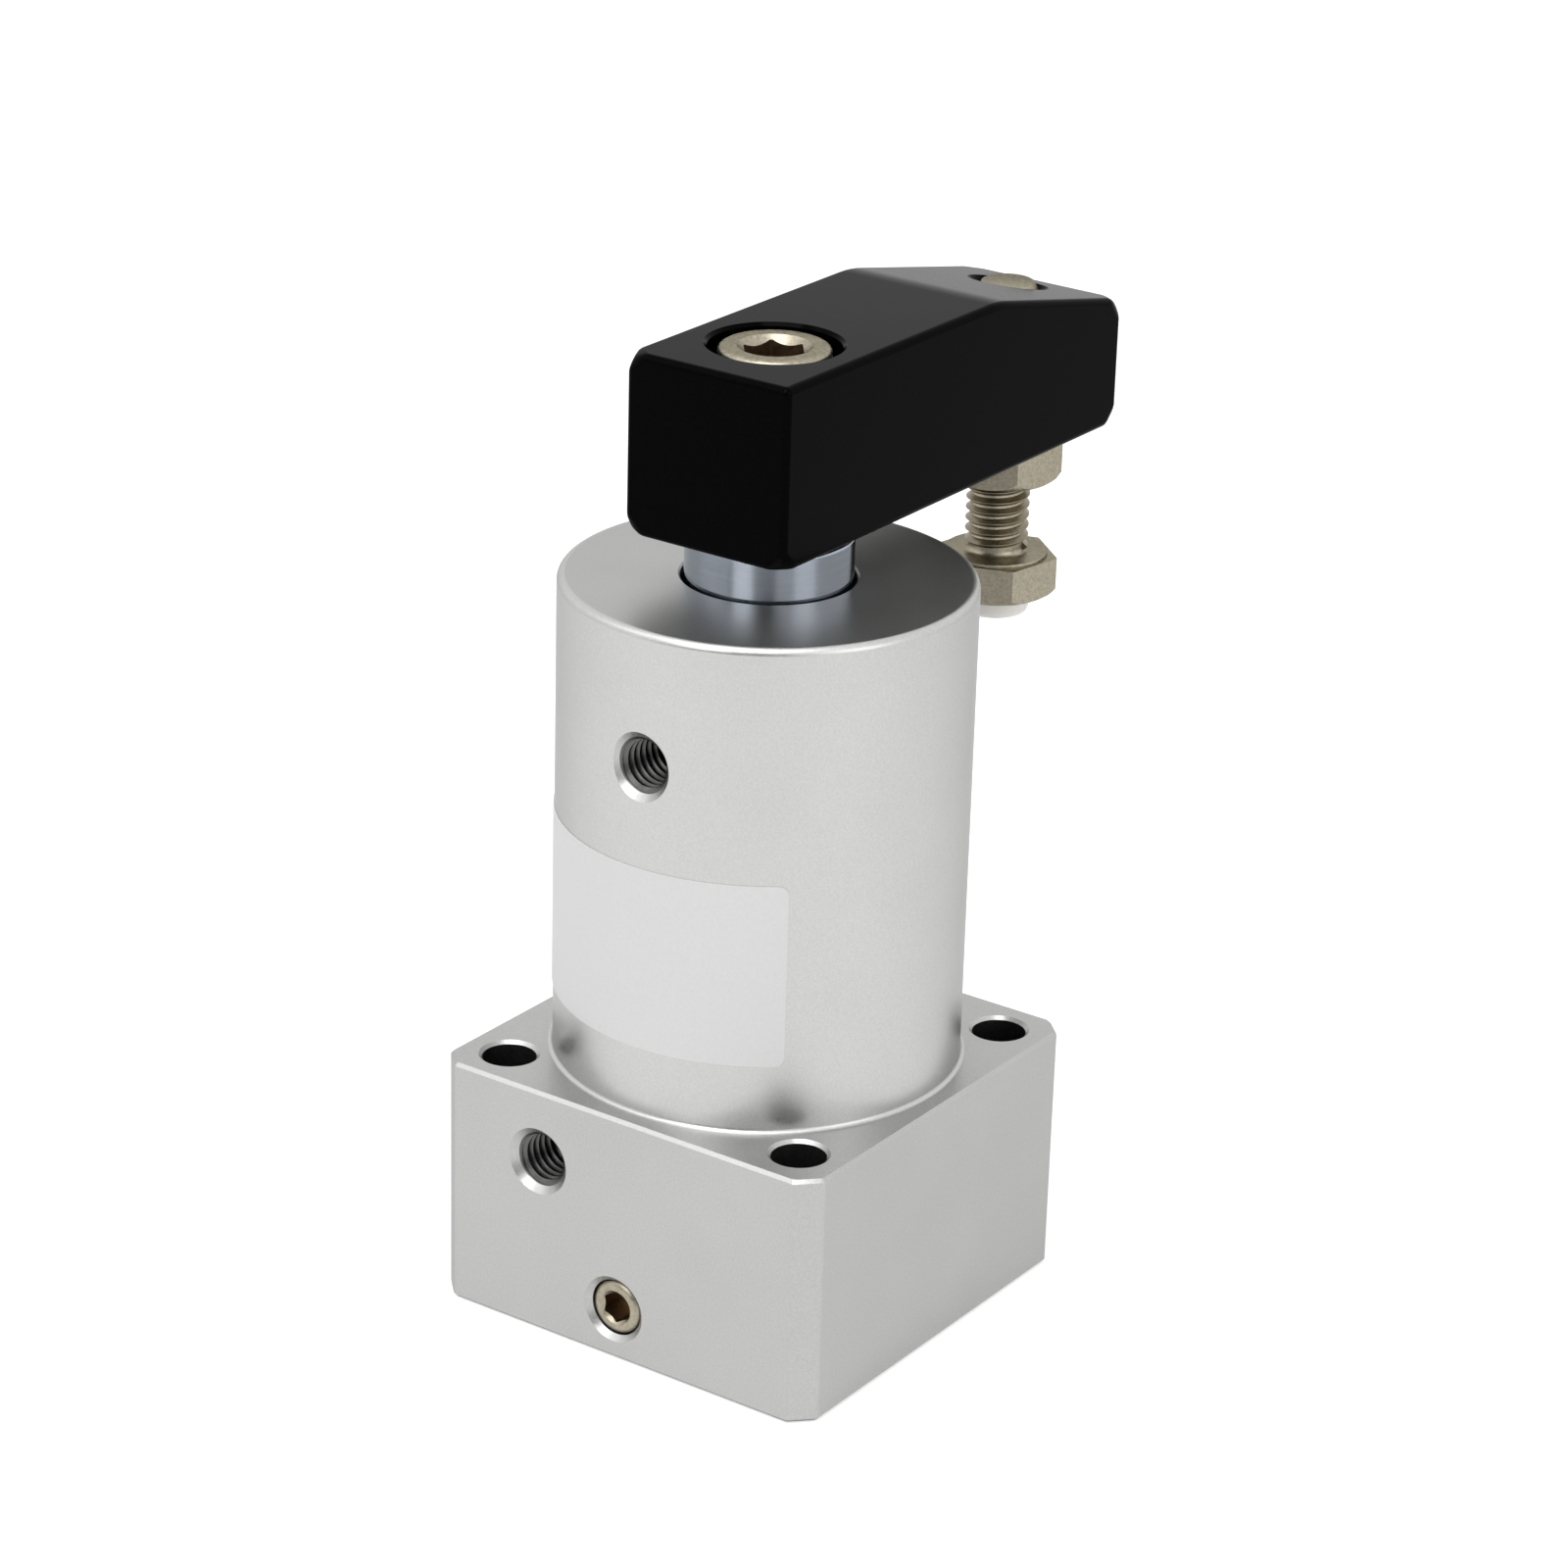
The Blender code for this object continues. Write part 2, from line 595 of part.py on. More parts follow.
def cam_track(half_width, floor_radius, rim_radius):
    """A cutter of the track's width, swept along the track, with rounded ends."""
    low = PIN_LEVEL
    high = PIN_LEVEL + CLAMP_STROKE + SWING_STROKE
    turn_start = low + CLAMP_STROKE
    rise = SWING_STROKE / TRACK_TURN_STEPS
    ends = [(half_width * math.sin(turn), half_width * math.cos(turn)) for turn in TRACK_END_TURNS]
    lead_in = [(low - beyond, width) for beyond, width in ends]
    upright = [(low + CLAMP_STROKE * share, half_width) for share in TRACK_UPRIGHT_SHARES]
    turning = [(turn_start + rise * step, half_width) for step in range(TRACK_TURN_STEPS + 1)]
    lead_out = [(high + beyond, width) for beyond, width in ends]
    rings = []
    for level, width in lead_in + upright + turning + lead_out[::-1]:
        reach = half_width / 2
        sideways = POST_RADIUS * (track_angle(level + reach) - track_angle(level - reach))
        across = Vector((2 * reach, -sideways)).normalized() * width
        ring = []
        for side, radius in ((-1, floor_radius), (1, floor_radius), (1, rim_radius), (-1, rim_radius)):
            angle = track_angle(level) + side * across.x / POST_RADIUS
            height = level + side * across.y
            ring.append((radius * math.cos(angle), radius * math.sin(angle), height))
        rings.append(ring)
    return lofted(rings)


def make_guide_post(finish):
    """Fixed post whose cam track turns the rod."""
    bottom = COVER_FLOOR_THICKNESS + SEAT_GAP
    post = add_piece(
        "guide_post",
        turned(
            [
                (0.0, bottom),
                (POST_RADIUS - POST_EDGE_CHAMFER, bottom),
                (POST_RADIUS, bottom + POST_EDGE_CHAMFER),
                (POST_RADIUS, POST_TOP - POST_EDGE_CHAMFER),
                (POST_RADIUS - POST_EDGE_CHAMFER, POST_TOP),
                (0.0, POST_TOP),
            ]
        ),
        finish,
    )
    cut(
        post,
        "cam_track",
        cam_track(PIN_DIAMETER / 2 + SEAT_GAP, POST_RADIUS - TRACK_DEPTH, POST_RADIUS + OVERSHOOT),
    )
    cut(
        post,
        "post_cross_hole",
        cylinder(CROSS_PIN_DIAMETER / 2 + SEAT_GAP, POST_DIAMETER + 2 * OVERSHOOT, PIN_SEGMENTS),
        (0.0, POST_RADIUS + OVERSHOOT, CROSS_PIN_LEVEL),
        facing((0.0, -1.0, 0.0)),
    )
    return post


def make_cross_pin(finish):
    """Dowel that keeps the guide post from turning in the rear cover."""
    length = COVER_FLANGE_DIAMETER / 2 + POST_RADIUS - CROSS_PIN_INSET
    return add_piece(
        "post_cross_pin",
        cylinder(CROSS_PIN_DIAMETER / 2, length, PIN_SEGMENTS),
        finish,
        (0.0, COVER_FLANGE_DIAMETER / 2 - CROSS_PIN_INSET, CROSS_PIN_LEVEL),
        rotation=facing((0.0, -1.0, 0.0)),
    )


def ring_profile(inner, outer, height, chamfer=0.0):
    """The section of a flat ring on the XY plane, with its outer corners cut."""
    if chamfer == 0.0:
        return [(inner, 0.0), (outer, 0.0), (outer, height), (inner, height)]
    return [
        (inner, 0.0),
        (outer - chamfer, 0.0),
        (outer, chamfer),
        (outer, height - chamfer),
        (outer - chamfer, height),
        (inner, height),
    ]


def make_rod_bush(finish):
    """Plain bearing for the rod, pressed into the body's rod cover."""
    profile = ring_profile(BUSH_INNER_RADIUS, BUSH_OUTER_RADIUS, BUSH_LENGTH)
    return add_piece("rod_bush", turned(profile), finish, (0.0, 0.0, BUSH_BOTTOM))


def make_rod_seal(finish):
    """U-shaped rod seal whose lips face the pressure below."""
    outer = BUSH_INNER_RADIUS + ROD_SEAL_WIDTH
    middle = (BUSH_INNER_RADIUS + outer) / 2
    lip = ROD_SEAL_WIDTH * ROD_SEAL_LIP_SHARE
    profile = [
        (BUSH_INNER_RADIUS, 0.0),
        (BUSH_INNER_RADIUS + lip, 0.0),
        (middle, ROD_SEAL_HEIGHT * ROD_SEAL_VEE_SHARE),
        (outer - lip, 0.0),
        (outer, 0.0),
        (outer, ROD_SEAL_HEIGHT),
        (BUSH_INNER_RADIUS, ROD_SEAL_HEIGHT),
    ]
    return add_piece("rod_seal", turned(profile), finish, (0.0, 0.0, SEAL_GROOVE_BOTTOM + RUNNING_GAP))


def make_bumper(name, bottom, finish, parent=None):
    """Rubber ring that the piston meets at one end of its travel."""
    profile = ring_profile(BUMPER_INNER_RADIUS, BUMPER_OUTER_RADIUS, BUMPER_THICKNESS)
    return add_piece(name, turned(profile), finish, (0.0, 0.0, bottom), parent)


def make_piston(finish, parent):
    """Piston with grooves for its wear ring and seal, and a hole for the follower pin."""
    wear_bottom = WEAR_GROOVE_BOTTOM - PISTON_BOTTOM
    wear_top = WEAR_GROOVE_TOP - PISTON_BOTTOM
    seal_bottom = PISTON_SEAL_BOTTOM - RUNNING_GAP - PISTON_BOTTOM
    seal_top = PISTON_LENGTH - UPPER_LAND_HEIGHT
    o_ring_level = PISTON_O_RING_LEVEL - PISTON_BOTTOM
    o_ring_half = O_RING_SECTION / 2 + RUNNING_GAP
    o_ring_floor = NECK_RADIUS + O_RING_GROOVE_DEPTH
    profile = [
        (PISTON_BORE_RADIUS, 0.0),
        (PISTON_RADIUS - PISTON_EDGE_CHAMFER, 0.0),
        (PISTON_RADIUS, PISTON_EDGE_CHAMFER),
        (PISTON_RADIUS, wear_bottom),
        (WEAR_GROOVE_RADIUS, wear_bottom),
        (WEAR_GROOVE_RADIUS, wear_top),
        (PISTON_RADIUS, wear_top),
        (PISTON_RADIUS, seal_bottom),
        (SEAL_GROOVE_RADIUS, seal_bottom),
        (SEAL_GROOVE_RADIUS, seal_top),
        (PISTON_RADIUS, seal_top),
        (PISTON_RADIUS, PISTON_LENGTH - PISTON_EDGE_CHAMFER),
        (PISTON_RADIUS - PISTON_EDGE_CHAMFER, PISTON_LENGTH),
        (PISTON_BORE_RADIUS, PISTON_LENGTH),
        (PISTON_BORE_RADIUS, o_ring_level + o_ring_half),
        (o_ring_floor, o_ring_level + o_ring_half),
        (o_ring_floor, o_ring_level - o_ring_half),
        (PISTON_BORE_RADIUS, o_ring_level - o_ring_half),
    ]
    piston = add_piece("piston", turned(profile), finish, (0.0, 0.0, PISTON_BOTTOM), parent)
    cut(
        piston,
        "piston_pin_hole",
        cylinder(PIN_DIAMETER / 2 + SEAT_GAP, WEAR_GROOVE_RADIUS + OVERSHOOT - NECK_RADIUS, PIN_SEGMENTS),
        (0.0, -NECK_RADIUS, PIN_LEVEL - PISTON_BOTTOM),
        facing((0.0, -1.0, 0.0)),
    )
    return piston


def make_wear_ring(finish, parent):
    """Split guide ring round the piston."""
    inner = SLIDING_RADIUS - WEAR_RING_WALL
    ring = add_piece(
        "piston_wear_ring",
        turned(ring_profile(inner, SLIDING_RADIUS, WEAR_RING_HEIGHT)),
        finish,
        (0.0, 0.0, WEAR_GROOVE_BOTTOM + RUNNING_GAP),
        parent,
    )
    half_slit = WEAR_RING_SLIT / 2
    reach = SLIDING_RADIUS + OVERSHOOT
    cut(
        ring,
        "wear_ring_slit",
        block((inner / 2, -half_slit, -WEAR_RING_HEIGHT), (reach, half_slit, WEAR_RING_HEIGHT)),
        (0.0, 0.0, WEAR_RING_HEIGHT / 2),
        (WEAR_RING_SLIT_TILT, 0.0, 0.0),
    )
    return ring


def make_piston_seal(finish, parent):
    """Two-lipped seal round the piston."""
    inner = SLIDING_RADIUS - PISTON_SEAL_WIDTH
    waist = SLIDING_RADIUS - PISTON_SEAL_WIDTH * PISTON_SEAL_WAIST_SHARE
    lip_height = PISTON_SEAL_HEIGHT * PISTON_SEAL_LIP_SHARE
    profile = [
        (inner, 0.0),
        (SLIDING_RADIUS, 0.0),
        (SLIDING_RADIUS, lip_height),
        (waist, PISTON_SEAL_HEIGHT / 2),
        (SLIDING_RADIUS, PISTON_SEAL_HEIGHT - lip_height),
        (SLIDING_RADIUS, PISTON_SEAL_HEIGHT),
        (inner, PISTON_SEAL_HEIGHT),
    ]
    return add_piece("piston_seal", turned(profile), finish, (0.0, 0.0, PISTON_SEAL_BOTTOM), parent)


def make_piston_o_ring(finish, parent):
    """Static seal between the piston and the rod."""
    ring = torus(NECK_RADIUS + O_RING_GROOVE_DEPTH / 2, O_RING_SECTION)
    return add_piece("piston_o_ring", ring, finish, (0.0, 0.0, PISTON_O_RING_LEVEL), parent)


def make_retaining_ring(finish, parent):
    """Open spring ring that holds the piston up against the rod's shoulder."""
    inner = RING_GROOVE_RADIUS + RUNNING_GAP
    outer = inner + RING_WALL
    half_opening = RING_OPENING / 2
    outline = arc((0.0, 0.0), outer, half_opening, math.tau - half_opening, RETAINING_RING_STEPS)
    outline += arc((0.0, 0.0), inner, math.tau - half_opening, half_opening, RETAINING_RING_STEPS)
    ring = extruded(outline, RING_THICKNESS)
    bottom = PISTON_BOTTOM - SEAT_GAP - RING_THICKNESS
    return add_piece("piston_retaining_ring", ring, finish, (0.0, 0.0, bottom), parent)


def make_follower_pin(finish, parent):
    """Pin through the piston and the rod's wall, whose tip follows the cam track."""
    tip = POST_RADIUS + PIN_TIP_CLEARANCE
    length = WEAR_GROOVE_RADIUS - SEAT_GAP - tip
    return add_piece(
        "follower_pin",
        cylinder(PIN_DIAMETER / 2, length, PIN_SEGMENTS),
        finish,
        (0.0, -tip, PIN_LEVEL),
        parent,
        facing((0.0, -1.0, 0.0)),
    )


def make_piston_rod(finish, parent):
    """Hollow rod: neck through the piston, polished shaft, and a flatted spigot for the arm."""
    ring_groove_top = PISTON_BOTTOM - SEAT_GAP + RUNNING_GAP
    ring_groove_bottom = ring_groove_top - RING_THICKNESS - 2 * RUNNING_GAP
    spigot_radius = SPIGOT_DIAMETER / 2
    spigot_top = ROD_TOP_SHOULDER + SPIGOT_HEIGHT
    tapped_radius = CAP_SCREW_DIAMETER / 2 + SEAT_GAP
    tapped_bottom = CAP_HEAD_BOTTOM - CAP_SCREW_LENGTH - SCREW_END_ROOM
    profile = [
        (0.0, ROD_BORE_TOP),
        (ROD_BORE_RADIUS, ROD_BORE_TOP),
        (ROD_BORE_RADIUS, ROD_BOTTOM),
        (NECK_RADIUS, ROD_BOTTOM),
        (NECK_RADIUS, ring_groove_bottom),
        (RING_GROOVE_RADIUS, ring_groove_bottom),
        (RING_GROOVE_RADIUS, ring_groove_top),
        (NECK_RADIUS, ring_groove_top),
        (NECK_RADIUS, ROD_SHOULDER),
        (ROD_RADIUS, ROD_SHOULDER),
        (ROD_RADIUS, ROD_TOP_SHOULDER - ROD_EDGE_CHAMFER),
        (ROD_RADIUS - ROD_EDGE_CHAMFER, ROD_TOP_SHOULDER),
        (spigot_radius, ROD_TOP_SHOULDER),
        (spigot_radius, spigot_top),
        (tapped_radius, spigot_top),
        (tapped_radius, tapped_bottom),
        (0.0, tapped_bottom),
    ]
    rod = add_piece("piston_rod", turned(profile, ROD_SEGMENTS), finish, parent=parent)
    for name, side in (("spigot_flat_1", -1), ("spigot_flat_2", 1)):
        near = side * SPIGOT_FLAT_WIDTH / 2
        far = side * (spigot_radius + OVERSHOOT)
        cut(
            rod,
            name,
            block(
                (min(near, far), -spigot_radius - OVERSHOOT, ROD_TOP_SHOULDER),
                (max(near, far), spigot_radius + OVERSHOOT, spigot_top + OVERSHOOT),
            ),
        )
    cut(
        rod,
        "rod_pin_hole",
        cylinder(PIN_DIAMETER / 2 + SEAT_GAP, ROD_RADIUS, PIN_SEGMENTS),
        (0.0, -POST_RADIUS / 2, PIN_LEVEL),
        facing((0.0, -1.0, 0.0)),
    )
    return rod


def flatted_circle(radius, half_width):
    """The outline of a circle with two flats, square to the X axis."""
    reach = math.acos(half_width / radius)
    right_to_left = arc((0.0, 0.0), radius, reach, math.pi - reach, FLATTED_CIRCLE_STEPS)
    left_to_right = arc((0.0, 0.0), radius, math.pi + reach, math.tau - reach, FLATTED_CIRCLE_STEPS)
    return right_to_left + left_to_right


def make_clamp_arm(finish, parent):
    """Bar with a sloped nose, bored for the rod's spigot, its screw and the clamp bolt."""
    nose_end = BOLT_DISTANCE + ARM_NOSE
    side_view = [
        (-ARM_TAIL, 0.0),
        (nose_end, 0.0),
        (nose_end, ARM_HEIGHT - ARM_NOSE_DROP),
        (ARM_RIDGE, ARM_HEIGHT),
        (-ARM_TAIL, ARM_HEIGHT),
    ]
    bar = extruded(side_view, ARM_WIDTH)
    upright = Matrix(((0.0, 0.0, 1.0), (1.0, 0.0, 0.0), (0.0, 1.0, 0.0))).to_4x4()
    centred = Matrix.Translation((-ARM_WIDTH / 2, 0.0, 0.0)) @ upright
    bmesh.ops.transform(bar, matrix=centred, verts=bar.verts)
    arm = add_piece("clamp_arm", bar, finish, (0.0, 0.0, ARM_BOTTOM), parent)
    round_edges(arm, ARM_EDGE_ROUNDING, ARM_ROUNDING_STEPS, ARM_LEAST_ANGLE)

    cut(
        arm,
        "spigot_hole",
        extruded(
            flatted_circle(SPIGOT_DIAMETER / 2 + SEAT_GAP, SPIGOT_FLAT_WIDTH / 2 + SEAT_GAP),
            SPIGOT_HEIGHT + OVERSHOOT,
        ),
        (0.0, 0.0, -OVERSHOOT),
    )
    cut(
        arm,
        "screw_hole",
        cylinder(CAP_SCREW_DIAMETER / 2 + SEAT_GAP, ARM_HEIGHT + OVERSHOOT),
    )
    counterbore_depth = CAP_HEAD_RECESS + CAP_HEAD_HEIGHT + SEAT_GAP
    counterbore_radius = CAP_HEAD_DIAMETER / 2 + COUNTERBORE_SIDE_GAP
    counterbore_mouth = counterbore_radius + HOLE_LIP_CHAMFER
    cut(
        arm,
        "counterbore",
        countersunk_drill(counterbore_radius, counterbore_mouth, counterbore_depth, ROUND_SEGMENTS),
        (0.0, 0.0, ARM_HEIGHT),
    )

    tapped_radius = BOLT_DIAMETER / 2 + SEAT_GAP
    mouth = tapped_radius + TAPPED_HOLE_COUNTERSINK
    slope = math.atan2(ARM_NOSE_DROP, nose_end - ARM_RIDGE)
    surface = ARM_HEIGHT - (BOLT_DISTANCE - ARM_RIDGE) * math.tan(slope)
    cut(
        arm,
        "bolt_hole",
        cylinder(tapped_radius, ARM_HEIGHT + 2 * OVERSHOOT),
        (0.0, BOLT_DISTANCE, -OVERSHOOT),
    )
    cut(
        arm,
        "bolt_hole_countersink",
        turned([(0.0, -mouth), (mouth + OVERSHOOT, OVERSHOOT), (0.0, OVERSHOOT)], SMALL_SEGMENTS),
        (0.0, BOLT_DISTANCE, surface),
        (-slope, 0.0, 0.0),
    )
    return arm


def make_cap_screw(finish, parent):
    """Socket head cap screw that holds the arm on the rod."""
    head = CAP_HEAD_DIAMETER / 2
    shank = CAP_SCREW_DIAMETER / 2
    profile = [
        (0.0, -CAP_SCREW_LENGTH),
        (shank, -CAP_SCREW_LENGTH),
        (shank, 0.0),
        (head, 0.0),
        (head, CAP_HEAD_HEIGHT - CAP_HEAD_EDGE),
        (head - CAP_HEAD_EDGE, CAP_HEAD_HEIGHT),
        (0.0, CAP_HEAD_HEIGHT),
    ]
    screw = add_piece("arm_cap_screw", turned(profile), finish, (0.0, 0.0, CAP_HEAD_BOTTOM), parent)
    cut(
        screw,
        "cap_screw_socket",
        extruded(hexagon(CAP_SOCKET), CAP_SOCKET_DEPTH + OVERSHOOT),
        (0.0, 0.0, CAP_HEAD_HEIGHT - CAP_SOCKET_DEPTH),
    )
    return screw


def make_clamp_bolt(finish, parent):
    """Hexagon bolt that hangs head down from the arm's nose, bored for its pad."""
    corner = HEX_WIDTH / math.sqrt(3.0)
    flat = HEX_WIDTH / 2
    bolt = add_piece(
        "clamp_bolt",
        extruded(hexagon(HEX_WIDTH), BOLT_HEAD_HEIGHT),
        finish,
        (0.0, BOLT_DISTANCE, BOLT_HEAD_BOTTOM),
        parent,
        (0.0, 0.0, HEX_TURN),
    )
    crop = [
        (0.0, 0.0),
        (flat, 0.0),
        (corner, HEX_CHAMFER_HEIGHT),
        (corner + OVERSHOOT, HEX_CHAMFER_HEIGHT + OVERSHOOT),
        (corner + OVERSHOOT, BOLT_HEAD_HEIGHT + OVERSHOOT),
        (0.0, BOLT_HEAD_HEIGHT + OVERSHOOT),
    ]
    shape_with(bolt, "INTERSECT", "head_chamfer", turned(crop))
    washer = WASHER_FACE_DIAMETER / 2
    shank = BOLT_DIAMETER / 2
    top = BOLT_HEAD_HEIGHT + BOLT_LENGTH
    stem = [
        (0.0, BOLT_HEAD_HEIGHT / 2),
        (shank, BOLT_HEAD_HEIGHT / 2),
        (washer, BOLT_HEAD_HEIGHT / 2),
        (washer, BOLT_HEAD_HEIGHT + WASHER_FACE_HEIGHT),
        (shank, BOLT_HEAD_HEIGHT + WASHER_FACE_HEIGHT),
        (shank, top - BOLT_END_CHAMFER),
        (shank - BOLT_END_CHAMFER, top),
        (0.0, top),
    ]
    shape_with(bolt, "UNION", "bolt_stem", turned(stem, SMALL_SEGMENTS))
    cut(
        bolt,
        "pad_hole",
        cylinder(PAD_STEM_DIAMETER / 2 + SEAT_GAP, PAD_STEM_LENGTH + 2 * SEAT_GAP + OVERSHOOT, PIN_SEGMENTS),
        (0.0, 0.0, -OVERSHOOT),
    )
    return bolt


def make_lock_nut(finish, parent):
    """Hexagon nut that locks the clamp bolt against the arm."""
    corner = HEX_WIDTH / math.sqrt(3.0)
    flat = HEX_WIDTH / 2
    nut = add_piece(
        "bolt_lock_nut",
        extruded(hexagon(HEX_WIDTH), NUT_HEIGHT),
        finish,
        (0.0, BOLT_DISTANCE, ARM_BOTTOM - SEAT_GAP - NUT_HEIGHT),
        parent,
        (0.0, 0.0, HEX_TURN),
    )
    crop = [
        (0.0, 0.0),
        (flat, 0.0),
        (corner, HEX_CHAMFER_HEIGHT),
        (corner, NUT_HEIGHT - HEX_CHAMFER_HEIGHT),
        (flat, NUT_HEIGHT),
        (0.0, NUT_HEIGHT),
    ]
    shape_with(nut, "INTERSECT", "nut_chamfers", turned(crop))
    cut(
        nut,
        "nut_hole",
        cylinder(BOLT_DIAMETER / 2 + SEAT_GAP, NUT_HEIGHT + 2 * OVERSHOOT),
        (0.0, 0.0, -OVERSHOOT),
    )
    return nut


def make_bolt_pad(finish, parent):
    """Soft pad with a stem that is pressed into the bolt's head."""
    radius = PAD_DIAMETER / 2
    stem = PAD_STEM_DIAMETER / 2
    lower_edge = arc(
        (radius - PAD_EDGE_ROUNDING, PAD_EDGE_ROUNDING),
        PAD_EDGE_ROUNDING,
        math.radians(-90.0),
        0.0,
    )
    profile = (
        [(0.0, 0.0)]
        + lower_edge
        + [
            (radius, PAD_HEIGHT),
            (stem, PAD_HEIGHT),
            (stem, PAD_HEIGHT + SEAT_GAP + PAD_STEM_LENGTH),
            (0.0, PAD_HEIGHT + SEAT_GAP + PAD_STEM_LENGTH),
        ]
    )
    pad = turned(profile, SMALL_SEGMENTS)
    bottom = BOLT_HEAD_BOTTOM - SEAT_GAP - PAD_HEIGHT
    return add_piece("clamp_pad", pad, finish, (0.0, BOLT_DISTANCE, bottom), parent)


def add_carrier(name, parent=None):
    """An empty on the rod's axis that carries what moves with one joint."""
    carrier = bpy.data.objects.new(name, None)
    carrier.parent = parent
    bpy.context.scene.collection.objects.link(carrier)
    return carrier


def clear_scene():
    """Removes whatever the file opened with."""
    for leftover in list(bpy.data.objects):
        bpy.data.objects.remove(leftover, do_unlink=True)


def main():
    clear_scene()
    anodised = material("clear anodised aluminium", (0.62, 0.63, 0.64), 0.38, 0.9)
    turned_aluminium = material("turned aluminium", (0.72, 0.72, 0.72), 0.3, 1.0)
    black_steel = material("black oxide steel", (0.02, 0.02, 0.022), 0.45, 0.3)
    hard_chrome = material("hard chromed steel", (0.66, 0.69, 0.74), 0.12, 1.0)
    nickel_steel = material("nickel plated steel", (0.48, 0.44, 0.38), 0.32, 1.0)
    tool_steel = material("hardened steel", (0.42, 0.42, 0.44), 0.35, 1.0)
    spring_steel = material("spring steel", (0.16, 0.16, 0.17), 0.4, 0.9)
    bronze = material("sintered bronze", (0.55, 0.36, 0.16), 0.45, 1.0)
    black_rubber = material("nitrile rubber", (0.02, 0.02, 0.02), 0.7, 0.0)
    green_seal = material("polyurethane seal", (0.05, 0.18, 0.12), 0.5, 0.0)
    guide_plastic = material("filled guide plastic", (0.10, 0.07, 0.05), 0.55, 0.0)
    white_plastic = material("white acetal", (0.86, 0.86, 0.83), 0.4, 0.0)

    make_cylinder_body(anodised)
    make_rear_cover(turned_aluminium)
    make_cover_o_ring(black_rubber)
    make_set_screw(nickel_steel)
    make_guide_post(tool_steel)
    make_cross_pin(tool_steel)
    make_rod_bush(bronze)
    make_rod_seal(green_seal)
    make_bumper("upper_bumper", UPPER_BUMPER_BOTTOM, black_rubber)

    clamp_carrier = add_carrier("clamp_stroke_carrier")
    make_bumper("lower_bumper", LOWER_BUMPER_BOTTOM, black_rubber, clamp_carrier)

    lift_carrier = add_carrier("swing_lift_carrier", clamp_carrier)
    make_piston_seal(green_seal, lift_carrier)
    make_wear_ring(guide_plastic, lift_carrier)

    swing_carrier = add_carrier("swing_carrier", lift_carrier)
    make_piston(turned_aluminium, swing_carrier)
    make_piston_o_ring(black_rubber, swing_carrier)
    make_retaining_ring(spring_steel, swing_carrier)
    make_follower_pin(tool_steel, swing_carrier)
    make_piston_rod(hard_chrome, swing_carrier)
    make_clamp_arm(black_steel, swing_carrier)
    make_cap_screw(nickel_steel, swing_carrier)
    make_clamp_bolt(nickel_steel, swing_carrier)
    make_lock_nut(nickel_steel, swing_carrier)
    make_bolt_pad(white_plastic, swing_carrier)


main()
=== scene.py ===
"""Swing clamp cylinder: fine shapes, finishes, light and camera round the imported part.

Pieces are modelled in millimetres, +Z up from the mounting face, and brought to metres once.
"""

import json
import math

import bmesh
import bpy
from mathutils import Matrix, Vector

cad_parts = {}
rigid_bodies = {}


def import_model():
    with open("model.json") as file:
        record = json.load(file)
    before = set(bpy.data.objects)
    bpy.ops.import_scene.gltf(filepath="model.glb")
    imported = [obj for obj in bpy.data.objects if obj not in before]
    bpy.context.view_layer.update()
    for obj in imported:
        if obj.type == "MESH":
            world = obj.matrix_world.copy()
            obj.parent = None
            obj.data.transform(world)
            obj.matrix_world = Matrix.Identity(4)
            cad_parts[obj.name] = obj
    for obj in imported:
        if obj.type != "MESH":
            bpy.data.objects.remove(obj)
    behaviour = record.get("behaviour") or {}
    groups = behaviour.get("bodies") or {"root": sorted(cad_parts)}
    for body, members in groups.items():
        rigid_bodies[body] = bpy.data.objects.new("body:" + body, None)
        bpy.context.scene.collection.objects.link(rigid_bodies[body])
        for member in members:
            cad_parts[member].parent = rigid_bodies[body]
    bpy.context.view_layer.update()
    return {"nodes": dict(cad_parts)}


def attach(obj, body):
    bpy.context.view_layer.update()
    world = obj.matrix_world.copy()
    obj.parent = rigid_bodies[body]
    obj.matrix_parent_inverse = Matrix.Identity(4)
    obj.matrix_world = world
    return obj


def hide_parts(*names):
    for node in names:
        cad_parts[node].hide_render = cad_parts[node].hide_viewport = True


MM = 0.001

# Body
BASE_WIDTH = 40.0
BASE_TOP = 23.1
CORNER_CHAMFER = 1.9
CORNER_ROUNDING = 0.25
RIM_CHAMFER = 0.3
BARREL_RADIUS = 18.0
BARREL_TOP = 67.0
BARREL_EDGE = 0.7
FOOT_FILLET = 0.4
BORE_RADIUS = 12.5
COVER_SEAT = (14.3, 9.7)
CHAMBER_TOP = 56.2
BUSH_SEAT = (9.0, 61.8)
SEAL_GROOVE = (10.1, 62.5, 65.5)
ROD_HOLE_RADIUS = 7.57
ROD_HOLE_LIP = 0.15

# Holes in the body
PORT_ROOT = 2.5
PORT_CREST = 2.07
PORT_PITCH = 0.8
PORT_MOUTH = 3.1
PORT_GROOVE = ((-0.12, 0.04), (-0.12, 0.76))     # from the crest: radius, height
PORT_GROOVE_FLOOR = (0.45, 0.35)
THREAD_START = 0.48
UPPER_PORT = (0.0, -18.0, 55.0)
UPPER_PORT_DEPTH = 7.0
LOWER_PORT = (-8.8, -20.0, 16.4)
LOWER_PORT_DEPTH = 12.6
MOUNTING_HOLE_RADIUS = 2.4
MOUNTING_HOLE_REACH = 15.5
HOLE_LIP = 0.3
SET_SCREW_CENTRE = (-0.4, -19.65, 4.7)
SET_SCREW_RADIUS = 2.5
SET_SCREW_HOLE_RADIUS = 2.6
